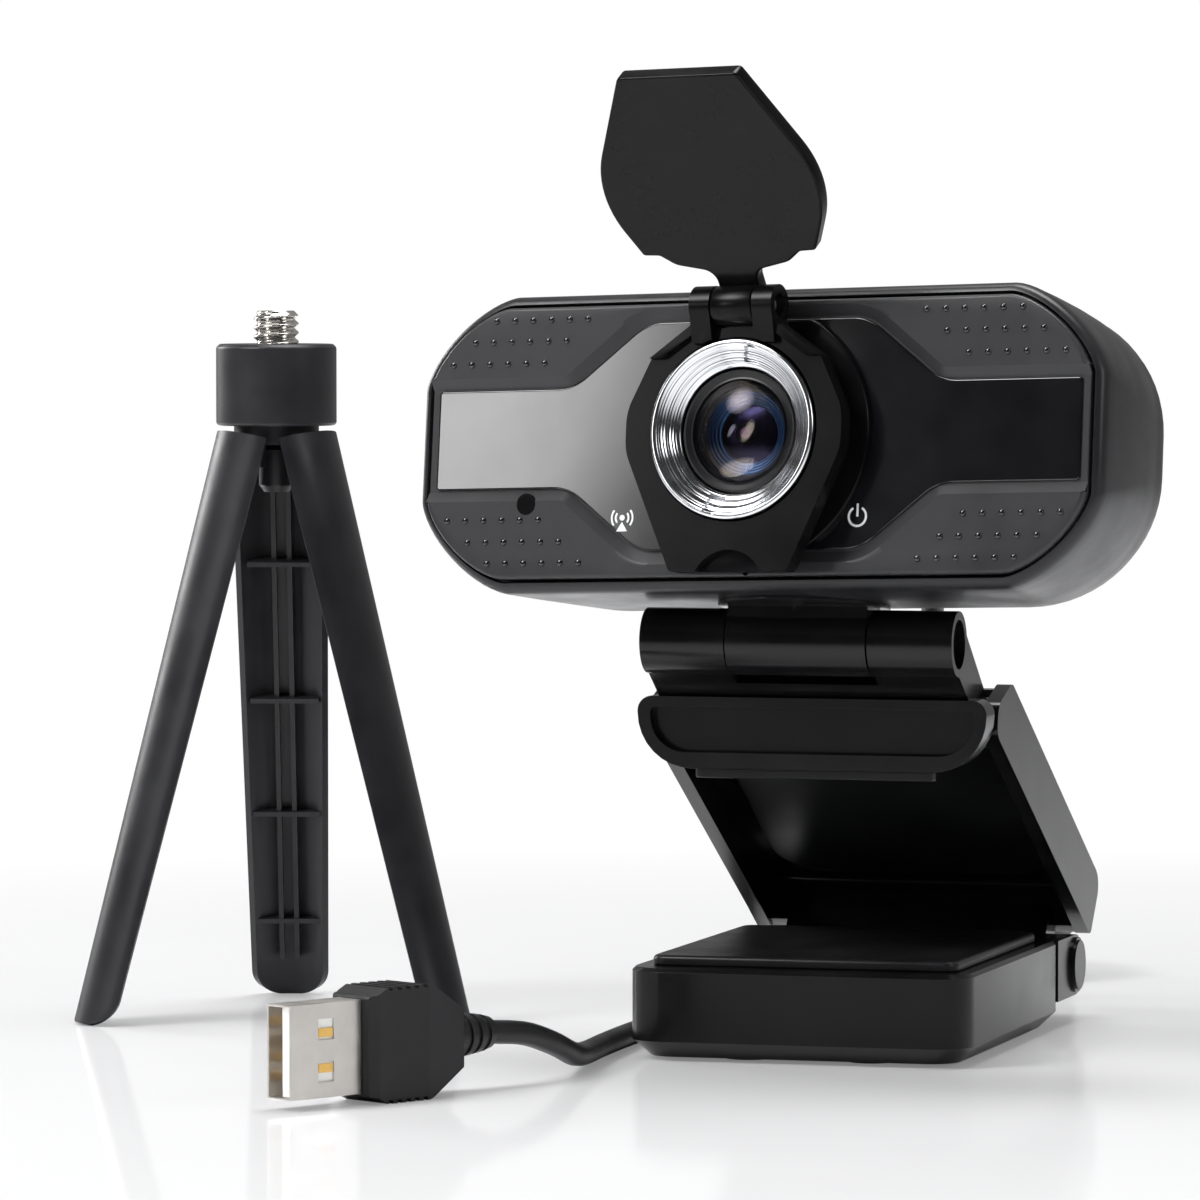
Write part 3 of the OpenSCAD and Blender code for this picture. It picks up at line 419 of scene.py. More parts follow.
def metal(name, colour, rough, scratch=0.25, depth=0.002, spread=0.06):
    """Bare metal: fine drawn scratches as bump, and a cloud that moves the gloss by spread. Lengths in millimetres."""
    nt, b = shader(name)
    co = object_coord(nt)
    stretch = nt.nodes.new("ShaderNodeMapping")
    stretch.inputs["Scale"].default_value = (1, 1, 6)
    nt.links.new(co, stretch.inputs["Vector"])
    fine = noise(nt, stretch.outputs["Vector"], 1 / (scratch * MM), 2.0, 0.6)
    cloud = noise(nt, co, 1 / (METAL_CLOUD * MM), 3.0, 0.6)
    b.inputs["Metallic"].default_value = 1.0
    darker = tuple(c * 0.93 for c in colour)
    nt.links.new(mix_colour(nt, ramp(nt, cloud, 0, 1), darker, colour), b.inputs["Base Color"])
    nt.links.new(ramp(nt, cloud, rough - spread, rough + spread), b.inputs["Roughness"])
    bump(nt, b, fine, depth * MM)
    return FINISH[name]


def glass(name, tint, film):
    """Polished glass with a coating of film nanometres."""
    nt, b = shader(name)
    co = object_coord(nt)
    b.inputs["Base Color"].default_value = (*tint, 1)
    b.inputs["Transmission Weight"].default_value = 1.0
    b.inputs["IOR"].default_value = 1.5
    b.inputs["Thin Film Thickness"].default_value = film
    b.inputs["Thin Film IOR"].default_value = 1.38
    nt.links.new(ramp(nt, noise(nt, co, 1 / (GLASS_CLOUD * MM), 2.0), 0.0, 0.012), b.inputs["Roughness"])
    return FINISH[name]


def make_finishes(f):
    """Every finish by name: colour, roughness, size and depth of its grain or scratches, then what differs from the
    usual. f holds the colours that can be set."""
    plastic("stand_black", f.stand, 0.2, 0.30, 0.0015, spread=0.03)
    plastic("housing_charcoal", f.housing, 0.35, 0.28, 0.004, shade=0.1)
    plastic("bezel_charcoal", f.bezel, 0.38, 0.26, 0.005, shade=0.08)
    plastic("dot_gloss", f.gloss, 0.16, 0.3, 0.0005, shine=0.8)
    plastic("gloss_black", f.gloss, 0.09, 1.2, 0.0004, coat=0.3, spread=0.015, shine=0.5)
    plastic("cover_black", f.cover, 0.21, 0.30, 0.0012, spread=0.03, shade=0.1, shine=0.1)
    plastic("pad_black", f.pad, 0.34, 0.35, 0.004, shade=0.1)
    plastic("barrel_black", (0.006, 0.006, 0.007), 0.34, 0.2, 0.002)
    # Near black with almost no gloss: the lens's dark pupil, and the painted shade of the microphone hole.
    plastic("inner_black_and_hole_shade", (0.002, 0.002, 0.002), 0.6, 0.2, 0.002, shine=0.05)
    plastic("tripod_black", f.tripod, 0.38, 0.32, 0.008, shade=0.15)
    plastic("boot_black", f.boot, 0.4, 0.25, 0.008, shade=0.12)
    plastic("cord_black", f.boot, 0.42, 0.4, 0.006, shade=0.12)
    plastic("print_white", (0.86, 0.86, 0.86), 0.4, 0.1, 0.001, shade=0.02)
    plastic("insert_white", (0.82, 0.82, 0.79), 0.4, 0.2, 0.003, shade=0.03)
    plastic("rubber_black", (0.03, 0.03, 0.03), 0.62, 0.3, 0.01)
    plastic("board_green", (0.02, 0.16, 0.06), 0.34, 0.3, 0.004)
    metal("ring_silver", (0.68, 0.69, 0.71), 0.16, 0.12, 0.0015)
    metal("steel", (0.6, 0.6, 0.62), 0.35)
    metal("screw_steel", (0.72, 0.7, 0.66), 0.2)
    metal("brass", (0.83, 0.62, 0.28), 0.2)
    metal("shell_nickel", (0.74, 0.71, 0.67), 0.35, 0.2, 0.002)
    metal("contact_gold", (0.95, 0.6, 0.18), 0.2)
    plastic("inlay_black", f.stand, 0.34, 0.30, 0.002, spread=0.04, shade=0.1, shine=0.5)
    plastic("pupil_magenta", (0.16, 0.02, 0.14), 0.2, 0.3, 0.001)
    glass("front_glass", (0.9, 0.93, 1.0), film=105.0)
    metal("coat_blue", (0.022, 0.045, 0.09), 0.35, 0.4, 0.0005)
    metal("coat_violet", (0.02, 0.016, 0.036), 0.23, 0.4, 0.0003, spread=0.03)


# ---------------------------------------------------------------- properties
def length(name, description, default_mm):
    return bpy.props.FloatProperty(name=name, description=description, default=default_mm * MM,
                                   min=0.0, precision=5, unit="LENGTH")


def colour(name, description, default):
    return bpy.props.FloatVectorProperty(name=name, description=description, default=default,
                                         size=3, min=0.0, max=1.0, subtype="COLOR")


class HeadSizes(bpy.types.PropertyGroup):
    width: length("Head width", "Width of the head over its rear housing", 100.0)
    height: length("Head height", "Height of the head", 40.0)
    depth: length("Head depth", "Depth of the rear housing behind the front face", 32.5)
    bezel: length("Bezel depth", "Depth of the front bezel", 3.2)
    dot: length("Dot radius", "Radius of one grip dot", 0.45)
    pitch: length("Dot pitch", "Distance from dot to dot", 2.75)
    panel: length("Panel width", "Width of the gloss panel", 94.2)


class LensSizes(bpy.types.PropertyGroup):
    ring: length("Ring radius", "Outer radius of the silver ring", 11.9)
    inner: length("Ring inner radius", "Inner radius of the silver ring", 8.4)
    proud: length("Ring height", "Height of the ring over the front face", 6.0)
    glass: length("Glass radius", "Radius of the front glass", 6.8)


class CoverSizes(bpy.types.PropertyGroup):
    half: length("Half width", "Half width of the flip cover", 15.7)
    reach: length("Reach", "Reach of the flip cover from its hinge", 33.9)
    thick: length("Thickness", "Thickness of the flip cover", 2.4)


class StandSizes(bpy.types.PropertyGroup):
    edge: length("Edge radius", "Rounding of the stand's moulded edges", 0.35)


class TripodSizes(bpy.types.PropertyGroup):
    edge: length("Edge radius", "Rounding of the tripod's moulded edges", 0.2)
    thread: length("Thread pitch", "Pitch of the screw's thread", 1.27)


class CordSizes(bpy.types.PropertyGroup):
    diameter: length("Diameter", "Diameter of the cord", 3.2)


class Finishes(bpy.types.PropertyGroup):
    stand: colour("Stand", "Colour of the clip stand", (0.0045, 0.0045, 0.005))
    housing: colour("Housing", "Colour of the rear housing", (0.012, 0.012, 0.0135))
    bezel: colour("Bezel", "Colour of the front bezel", (0.027, 0.027, 0.029))
    gloss: colour("Panel", "Colour of the gloss panel", (0.004, 0.004, 0.005))
    cover: colour("Cover", "Colour of the flip cover", (0.003, 0.003, 0.0035))
    pad: colour("Pad", "Colour of the foot's pad", (0.008, 0.008, 0.009))
    tripod: colour("Tripod", "Colour of the tripod", (0.016, 0.016, 0.018))
    boot: colour("Plug boot", "Colour of the plug's boot and the cord", (0.014, 0.014, 0.015))


class StageSettings(bpy.types.PropertyGroup):
    focal: bpy.props.FloatProperty(name="Focal length", description="Focal length of the camera in millimetres",
                                   default=226.0)
    power: bpy.props.FloatProperty(name="Light", description="Power in watts that every light is a multiple of",
                                   default=2.2)


GROUPS = {"head": HeadSizes, "lens": LensSizes, "cover": CoverSizes, "stand": StandSizes,
          "tripod": TripodSizes, "cord": CordSizes, "finishes": Finishes, "stage": StageSettings}


def sizes(group):
    """A property group's lengths in millimetres, by name."""
    g = getattr(bpy.context.scene, "webcam_" + group)
    return {k: getattr(g, k) / MM for k in GROUPS[group].__annotations__}


# ---------------------------------------------------------------- cord
COIL_AT, COIL_MID = (-12, 98), 16.7  # the coil's middle on the table and its mean radius
COIL_WIDE, COIL_HIGH = 3, 4  # turns side by side, and layers
DROP = [[4.8, 1.9, 69.4], [6.6, 10.9, 68], [6.8, 18.6, 65.7], [5.4, 26.6, 61.3], [3.4, 34, 54.6],
        [1.6, 40.4, 46.2], [1, 45.8, 37], [1.4, 51.4, 27.6], [2.6, 57.6, 18.2], [4.2, 64.6, 10],
        [5.7, 72.6, 4.2], [7, 81.6, 1.4], [7.8, 90, 1.1], [7.9, 97, 1.1]]
RUN = [[-31.9, 97, 10.7], [-32, 91, 10], [-32.2, 84, 7.6], [-32, 77, 4.6], [-31.6, 70, 2.2],
       [-31, 62, 1.1], [-30, 52, 1.1], [-29, 40, 1.1], [-28.2, 28, 1.1], [-28, 14, 1.1],
       [-28, 0, 1.1], [-28, -14, 1.1], [-27.6, -26, 1.1], [-26.6, -37, 1.3], [-25.6, -46, 2.2],
       [-26, -53, 4.2], [-28, -60, 6.2], [-31, -66, 6.9]]


def coil_path(d, start_z):
    """Turns of a coil: radius and height keep still for half a turn, then the radius steps by a diameter over a
    quarter turn, and where a layer ends the height rises by a diameter over the last quarter."""
    row = COIL_MID + (np.arange(COIL_WIDE) - (COIL_WIDE - 1) / 2) * d
    radii = np.concatenate([row[::-1] if k % 2 == 0 else row for k in range(COIL_HIGH)])
    heights = np.repeat(np.arange(COIL_HIGH) * d, COIL_WIDE)
    turns, per = len(radii), 90  # steps in one turn
    a = np.linspace(0, FULL_TURN * (turns - 0.5), int(per * (turns - 0.5)) + 1)
    k = a / FULL_TURN
    i = np.minimum(k.astype(int), turns - 1)
    after = np.minimum(i + 1, turns - 1)
    out, up = (np.clip((k - i - s) / 0.25, 0, 1) for s in (0.5, 0.75))
    out, up = (t * t * (3 - 2 * t) for t in (out, up))
    r = radii[i] + (radii[after] - radii[i]) * out
    z = start_z + heights[i] + (heights[after] - heights[i]) * up
    return np.stack([COIL_AT[0] + r * np.cos(a), COIL_AT[1] + r * np.sin(a), z], 1)


class WEBCAM_OT_cord(bpy.types.Operator):
    """Cord from the head to its plug, with the hidden length wound in a coil"""
    bl_idname = "webcam.cord"
    bl_label = "Cord"

    def execute(self, context):
        c = sizes("cord")
        d = c["diameter"]
        drop, run = (through(np.array(points) * MM, 2 * MM) for points in (DROP, RUN))
        coil = coil_path(d, table_z / MM + d / 2) * MM
        path = np.concatenate([drop, coil, run])
        slim = 0.985  # keeps neighbouring turns of the coil apart
        v, f = tube(path, d / 2 * MM * slim, 14)
        ob = piece("cord", v, f, "base", FINISH["cord_black"], "cord_black", ("cord_drop", "cord_coil", "cord_run"), 60)
        plug = [bpy.data.objects[n] for n in ("boot", "shell")]
        plug += [frame["nodes"][n] for n in ("plug_insert", "plug_contacts")]
        return {"FINISHED"}


# ---------------------------------------------------------------- stage
def area_light(name, place, aim, size, power, fade=0.12):
    """Soft light whose strength falls in a straight line from the fade distance to its rim. The light is 1 wide in its
    own measure, so its mean strength is the volume of a cut cone, and dividing by that keeps the power as given."""
    data = bpy.data.lights.new(name, "AREA")
    data.shape, data.size, data.size_y = "RECTANGLE", *size
    data.energy = power
    data.use_nodes = True
    nt = data.node_tree
    rim = 0.5
    away = nt.nodes.new("ShaderNodeVectorMath")
    away.operation = "DISTANCE"
    away.inputs[1].default_value = (rim, rim, 0)
    nt.links.new(nt.nodes.new("ShaderNodeNewGeometry").outputs["Parametric"], away.inputs[0])
    mean = math.pi * (fade**2 + fade * rim + rim**2) / 3
    nt.links.new(ramp(nt, away.outputs["Value"], 1 / mean, 0, fade, rim), nt.nodes["Emission"].inputs["Strength"])
    ob = bpy.data.objects.new(name, data)
    bpy.context.scene.collection.objects.link(ob)
    ob.location = place
    ob.rotation_euler = (Vector(aim) - Vector(place)).to_track_quat("-Z", "Y").to_euler()
    return ob


class WEBCAM_OT_stage(bpy.types.Operator):
    """Camera, soft lights, pale floor and white surroundings"""
    bl_idname = "webcam.stage"
    bl_label = "Stage"

    def execute(self, context):
        settings = context.scene.webcam_stage
        cam = bpy.data.cameras.new("camera")
        cam.lens, cam.sensor_width = settings.focal, 36.0
        cam.clip_start, cam.clip_end = 0.05, 20.0
        cam.shift_x, cam.shift_y = -0.100, 0.022
        ob = bpy.data.objects.new("camera", cam)
        context.scene.collection.objects.link(ob)
        rise, round_by = math.radians(2.83), math.radians(15.34)
        ob.location = (0.25404, -0.9920, 0.10716)
        ob.rotation_euler = (math.pi / 2 - rise, 0, round_by)
        context.scene.camera = ob
        context.scene.view_settings.view_transform = "Standard"

        p = settings.power
        area_light("key_left", (-0.60, -0.55, 0.85), (0, 0, 0.06), (0.7, 0.6), 5.0 * p)
        area_light("fill_right", (0.85, -0.30, 0.45), (0, 0, 0.06), (0.4, 0.6), 0.85 * p)
        area_light("top", (0.0, 0.15, 0.95), (0, 0, 0.05), (0.8, 0.6), 4.0 * p)
        area_light("rim_left", (-0.7, 0.35, 0.3), (0, 0, 0.07), (0.25, 0.5), 1.2 * p)
        panel = area_light("panel_glow", (-0.636, -0.682, 0.29), (-0.02, -0.04, 0.084), (0.12, 0.26), 0.22 * p, 0.28)
        panel.rotation_euler.rotate_axis("Z", math.radians(-24))

        self.surroundings(context.scene)
        self.floor(context.scene)
        return {"FINISHED"}

    def surroundings(self, scene):
        """Soft light from all round. The camera sees plain white, and gloss sees a grey room that is brighter behind
        the part than in front of it."""
        world = bpy.data.worlds.new("surround")
        scene.world = world
        world.use_nodes = True
        nt = world.node_tree
        soft = nt.nodes["Background"]
        soft.inputs["Color"].default_value = (0.95, 0.97, 1.0, 1)
        soft.inputs["Strength"].default_value = 0.3
        white = nt.nodes.new("ShaderNodeBackground")
        white.inputs["Color"].default_value = (1, 1, 1, 1)
        way = nt.nodes.new("ShaderNodeSeparateXYZ")
        nt.links.new(nt.nodes.new("ShaderNodeTexCoord").outputs["Generated"], way.inputs["Vector"])
        room = ramp(nt, way.outputs["Y"], 0.04, 0.3, -0.15, 0.35)
        ray = nt.nodes.new("ShaderNodeLightPath")

        def most(a, b):
            m = nt.nodes.new("ShaderNodeMath")
            m.operation = "MAXIMUM"
            nt.links.new(a, m.inputs[0])
            nt.links.new(b, m.inputs[1])
            return m.outputs[0]

        nt.links.new(most(ray.outputs["Is Camera Ray"], room), white.inputs["Strength"])
        seen = most(ray.outputs["Is Camera Ray"], ray.outputs["Is Glossy Ray"])
        seen = most(seen, ray.outputs["Is Transmission Ray"])
        mix = nt.nodes.new("ShaderNodeMixShader")
        nt.links.new(seen, mix.inputs[0])
        nt.links.new(soft.outputs[0], mix.inputs[1])
        nt.links.new(white.outputs[0], mix.inputs[2])
        nt.links.new(mix.outputs[0], nt.nodes["World Output"].inputs["Surface"])

    def floor(self, scene):
        """Pale floor under the part that turns to plain white with distance, as the camera sees it."""
        half = 3.0
        corners = [(x * half, y * half, table_z) for x, y in ((-1, -1), (1, -1), (1, 1), (-1, 1))]
        me = bpy.data.meshes.new("floor")
        me.from_pydata(corners, [], [(0, 1, 2, 3)])
        floor = bpy.data.objects.new("floor", me)
        scene.collection.objects.link(floor)
        nt, b = shader("floor_white")
        co = object_coord(nt)
        b.inputs["Base Color"].default_value = (0.86, 0.86, 0.87, 1)
        b.inputs["IOR"].default_value = 1.45
        nt.links.new(ramp(nt, noise(nt, co, 8.0, 3.0), 0.06, 0.1), b.inputs["Roughness"])
        glow = nt.nodes.new("ShaderNodeEmission")
        glow.inputs["Strength"].default_value = 1.0
        path = nt.nodes.new("ShaderNodeLightPath")
        far = nt.nodes.new("ShaderNodeVectorMath")
        far.operation = "LENGTH"
        nt.links.new(co, far.inputs[0])
        share = nt.nodes.new("ShaderNodeMath")
        share.operation = "MULTIPLY"
        nt.links.new(ramp(nt, far.outputs["Value"], 0.2, 1.0, 0.12, 0.34), share.inputs[1])
        nt.links.new(path.outputs["Is Camera Ray"], share.inputs[0])
        mix = nt.nodes.new("ShaderNodeMixShader")
        nt.links.new(share.outputs[0], mix.inputs[0])
        nt.links.new(b.outputs[0], mix.inputs[1])
        nt.links.new(glow.outputs[0], mix.inputs[2])
        nt.links.new(mix.outputs[0], nt.nodes["Material Output"].inputs["Surface"])
        floor.data.materials.append(FINISH["floor_white"])


# ---------------------------------------------------------------- shared shapes
MID = -0.5  # the head's middle under the lens axis


def on_circle(outline, r):
    """Each point of an outline moved along its own ray from the middle to a circle of radius r."""
    o = np.asarray(outline, float)
    return o / np.linalg.norm(o, axis=1, keepdims=True) * r


def holed(outline, levels, r, place, dz=0.0):
    """Flat piece with shaped edges and a round hole: edge levels outside, then the hole's wall, closed on itself."""
    rings = [at(inset(outline, d), y, dz) for d, y in levels]
    y0, y1 = levels[0][1], levels[-1][1]
    hole, lip = (on_circle(outline + [0, dz], q) for q in (r, r + HOLD))
    rings = [at(hole, y1), at(hole, y0), at(lip, y0)] + rings + [at(lip, y1), at(hole, y1)]
    return skin([place(q) for q in rings], caps=False)


def rod(r, x0, x1, place):
    """Round bar along x with rounded rims, as a turned profile."""
    edge = 0.25
    cut = edge * 0.3
    profile = [(0, x0), (r - edge, x0), (r - cut, x0 + cut), (r, x0 + edge),
               (r, x1 - edge), (r - cut, x1 - cut), (r - edge, x1), (0, x1)]
    return lathe(profile, place, 48, "x")


# ---------------------------------------------------------------- head
BAND_TOP, BAND_ROUND = 8.3, 7  # half height of the gloss band's recess, and the rounding where its outline turns


def band_edge(end, low, high, slope_top, slope_foot, r_foot):
    """Right half of the band's upper edge, from the middle outwards: level, down a slope, level to the end."""
    return rounded([(0, high), (slope_top, high), (slope_foot, low), (end, low)], [0, BAND_ROUND, r_foot, 0], 10)


class WEBCAM_OT_housing(bpy.types.Operator):
    """Rear housing: rings of soft rectangles from the rim to the rounded back, and back inside as a wall"""
    bl_idname = "webcam.housing"
    bl_label = "Rear housing"

    def execute(self, context):
        h = sizes("head")
        w, t, d = h["width"] / 2, h["height"] / 2, h["depth"]
        groove, rim = 1.5, 1.3  # depth of the groove behind the bezel, and rounding of the rim
        back_w, back_y = w - 2.2, d - 8.5  # where the sides end and the rounded back begins

        def ring(w, t, cx, cz, p, y):
            return HEAD(at(soft_rect(w, t, cx, cz, p), y, MID))

        rings = [ring(w - groove, t - groove, 11.8, 10.8, 1.5, y) for y in (3.3, 1.3)]
        for a in np.radians(np.linspace(0, 90, 6)):
            k = rim * (1 - math.sin(a))
            rings.append(ring(w - k, t - k, 13.5 - k, 12.5 - k, 1.5, 1 + 2 * (1 - math.cos(a))))
        for k in np.linspace(0, 1, 12)[1:]:
            rings.append(ring(w - (w - back_w) * k**2, t, 13.5 + 4.5 * k, 12.5 + 4.5 * k, 1.5 + 0.5 * k,
                              3 + (back_y - 3) * k))
        for a in np.radians(np.linspace(0, 90, 12))[1:]:
            k = 1 - math.cos(a) ** 1.3
            rings.append(ring(back_w - 6.8 * k, t - 6 * k, 18 - 3 * k, 17 - 5 * k, 2,
                              back_y + (d - back_y) * math.sin(a)))
        inner = [(w - 10.5, t - 7.6, 14, 12, 2, d - 2), (w - 8.5, t - 5.6, 15, 13, 2, d - 3.5),
                 (w - 4.6, t - 2.6, 16, 15, 2, d - 9.5), (w - 2.6, t - 2.6, 13.5, 12.5, 1.7, 12),
                 (w - 3.5, t - 3.5, 12, 11, 1.6, 3.3)]
        rings = [ring(*i) for i in inner] + rings
        piece("rear_shell", *skin(rings), "head", FINISH["housing_charcoal"], "housing_plastic", ("rear_housing",), 40)
        return {"FINISHED"}


class WEBCAM_OT_bezel(bpy.types.Operator):
    """Front bezel: an upper and a lower pad that slope down to the gloss band, with rows of grip dots"""
    bl_idname = "webcam.bezel"
    bl_label = "Front bezel"

    def execute(self, context):
        h = sizes("head")
        w, t, depth = h["width"] / 2 - 1.8, h["height"] / 2 - 1.8, h["bezel"]
        soft, sunk = 0.55, 0.9  # rounding of the outer rim, and depth of the band's floor
        corner_size = (11.5, 10.5, 1.5)
        grids = []
        outline = soft_rect(w, t, *corner_size)
        for side in (1, -1):
            top = t + side * MID
            corner = soft_rect(w, top, *corner_size)[:17]
            corner = corner[corner[:, 1] > BAND_TOP]
            outer = np.concatenate([[(0, top)], corner[::-1], [(w, BAND_TOP)]])
            low = band_edge(w, 6.9, 15.5, 16.3, 27.1, 1.0)
            high = band_edge(w, BAND_TOP, 17.0, 16.95, 27.75, 1.2)
            n = 90
            outer, low, high = (evenly(c, n) for c in (outer, low, high))
            pull = soft * unit_rows(outer - [0.55 * w, 0.2 * top])
            rows = [at(low, sunk), at(high + (low - high) * 0.12, 0.1), at(high, 0.0)]
            for k in (0.25, 0.5, 0.75):
                rows.append(at(high + (outer - pull - high) * k, 0.0))
            for a in np.radians(np.linspace(0, 90, 5)):
                rows.append(at(outer - pull * (1 - math.sin(a)), soft * (1 - math.cos(a))))
            rows += [at(outer, depth), at(low, depth), at(low, sunk)]
            for flip in (1, -1):
                g = np.asarray(rows) * [flip, 1, side]
                grids.append((HEAD(g.reshape(-1, 3)), quads(len(rows), n, wrap=False)))
        grids.append(holed(inset(outline, 0.03), edges(sunk, depth, 0.1, 0.1), 7.0, HEAD, MID))
        v, f = join_grids(*grids)
        piece("front_frame", v, f, "head", FINISH["bezel_charcoal"], "housing_plastic", ("front_bezel",), 28)
        rows = ((16.3, 24.8), (13.45, 27.9), (10.5, 31.1))  # height of each row and where its six dots start
        spots = [(s * (x + k * h["pitch"]), 0.0, u * z + 0.7 * MID)
                 for s in (-1, 1) for u in (-1, 1) for z, x in rows for k in range(6)]
        r = h["dot"]
        dome = [(r, 0.05), (r, -0.02), (r * 0.92, -0.14), (r * 0.7, -0.23), (r * 0.38, -0.28), (0, -0.3)]
        v, f = join_grids(*(lathe(dome, HEAD.shifted(spot), 16) for spot in spots))
        piece("grip_dots", v, f, "head", FINISH["dot_gloss"], "housing_plastic", (), 60)
        # Painted shade: a near-black disc with almost no gloss, laid just proud of the face, stands in for the dark
        # inside of the microphone hole, which is not cut.
        mic = [(0, -0.02), (1.05, -0.02), (1.35, -0.02), (1.5, 0.04), (1.5, 0.3), (0, 0.3)]
        turned("microphone_mouth", mic, HEAD.shifted((-33, 0, -8.8)), "head", FINISH["inner_black_and_hole_shade"],
               "housing_plastic", n=32)
        return {"FINISHED"}


class WEBCAM_OT_panel(bpy.types.Operator):
    """Gloss panel: a flat band that widens round the lens, with a round hole for the ring"""
    bl_idname = "webcam.panel"
    bl_label = "Gloss panel"

    def execute(self, context):
        end, low, high = sizes("head")["panel"] / 2, 6.7, 15.25
        foot, top = 27, 16.2  # where the slope ends and starts, from the middle
        tip, turn = 0.5, BAND_ROUND
        outline = rounded([(end, -low), (end, low), (foot, low), (top, high), (-top, high), (-foot, low), (-end, low),
                           (-end, -low), (-foot, -low), (-top, -high), (top, -high), (foot, -low)],
                          [tip, tip, *[turn] * 4, tip, tip, *[turn] * 4], 10)
        v, f = holed(outline, edges(0.6, 2.0, 0.18, 0.05), 12.0, HEAD)
        piece("panel_gloss", v, f, "head", FINISH["gloss_black"], "gloss_black", ("gloss_panel",), 30)
        return {"FINISHED"}


# ---------------------------------------------------------------- lens
class WEBCAM_OT_lens(bpy.types.Operator):
    """Lens, all turned about its axis: a silver ring whose face is a straight slope with two sine waves and two
    notches, a stepped black barrel, and domes that are caps of spheres"""
    bl_idname = "webcam.lens"
    bl_label = "Lens"

    def execute(self, context):
        z = sizes("lens")
        out, inn, proud, g = z["ring"], z["inner"], z["proud"], z["glass"]
        rim, seat = out - 0.9, inn + 0.25  # where the sloping face starts and ends
        r = np.linspace(rim, seat, 56)
        k = (rim - r) / (rim - seat)
        wave = sum(0.03 * np.sin(FULL_TURN * (out - r) / pitch) for pitch in (0.3, 0.83))
        front = np.stack([r, -proud + 0.1 + (proud - 4.0) * k + wave], 1)
        profile = np.concatenate([[(inn, 2.0), (out, 2.0), (out, -proud + 0.35), (out - 0.1, -proud + 0.1),
                                   (out - 0.35, -proud), (out - 0.65, -proud)], front,
                                  [(inn + 0.08, -3.85), (inn, -3.7), (inn, 2.0)]])
        v, f = lathe(profile, Place((0, 0, 0), (1, 0, 0), (0, 1, 0), (0, 0, 1)), 288)
        v = v / MM
        turn, rad = np.degrees(np.arctan2(v[:, 0], v[:, 2])), np.hypot(v[:, 0], v[:, 2])
        sloping = (rad > inn + 0.6) & (rad < out - 0.8) & (v[:, 1] < -3)
        for notch in (12.0, -165.0):  # degrees round the ring; each notch narrows outwards
            away = np.abs((turn - notch + 180) % 360 - 180)
            v[sloping & (away < 6.5 * (1 - (rad - inn) / (out - inn)) + 1.4), 1] += 0.5
        piece("silver_ring", HEAD(v), f, "head", FINISH["ring_silver"], "ring_metal", ("lens_ring",), 50)

        barrel = [(0, 1.9), (inn - 0.2, 1.9), (inn - 0.2, -3.3), (inn - 0.35, -3.5), (inn - 0.6, -3.5),
                  (g + 0.35, -3.15), (g + 0.12, -3.2), (g + 0.05, -2.35), (6.2, -2.3), (6.2, -1.9), (5.7, -1.8),
                  (5.6, -1.3), (5.05, -1.2), (4.95, -0.7), (4.4, -0.6), (4.3, -0.1), (3.4, 0.1), (3.3, 0.7), (0, 0.7)]
        turned("lens_tube", barrel, HEAD, "head", FINISH["barrel_black"], "lens_black", ("lens_barrel",), 128, sharp=25)

        def dome(radius, rise, base, back):
            """Cap of a sphere: radius times sine outwards, the sphere's height times cosine forwards."""
            big = (radius**2 + rise**2) / (2 * rise)
            t = np.linspace(math.asin(radius / big), 0, 20)
            cap = np.stack([big * np.sin(t), base - (big * np.cos(t) - big + rise)], 1)
            return np.concatenate([[(0, back), (radius, back)], cap])

        turned("front_lens", dome(g, 1.9, -2.6, -2.35), HEAD, "head", FINISH["front_glass"], "lens_glass",
               ("lens_glass",))
        ridge = 0.06 * np.sin(np.linspace(0, 4 * FULL_TURN, 40))
        slope = np.stack([np.linspace(5.0, 3.3, 40), np.linspace(-0.95, -0.2, 40) + ridge], 1)
        turned("coated_ring", np.concatenate([[(3.3, 0.3), (5.0, 0.3)], slope, [(3.3, 0.3)]]), HEAD, "head",
               FINISH["coat_blue"], "lens_glass", n=96, sharp=50)
        turned("second_lens", dome(3.28, 0.95, -0.2, 0.2), HEAD, "head", FINISH["coat_violet"], "lens_glass", n=72)
        turned("pupil", dome(1.3, 0.2, -1.02, -0.7), HEAD, "head", FINISH["inner_black_and_hole_shade"], "lens_black", n=48)
        rim = [(0.34, -1.2), (0.62, -1.2), (0.6, -1.27), (0.48, -1.3), (0.36, -1.27), (0.34, -1.2)]
        turned("pupil_rim", rim, HEAD, "head", FINISH["pupil_magenta"], "lens_glass", n=48)
        return {"FINISHED"}


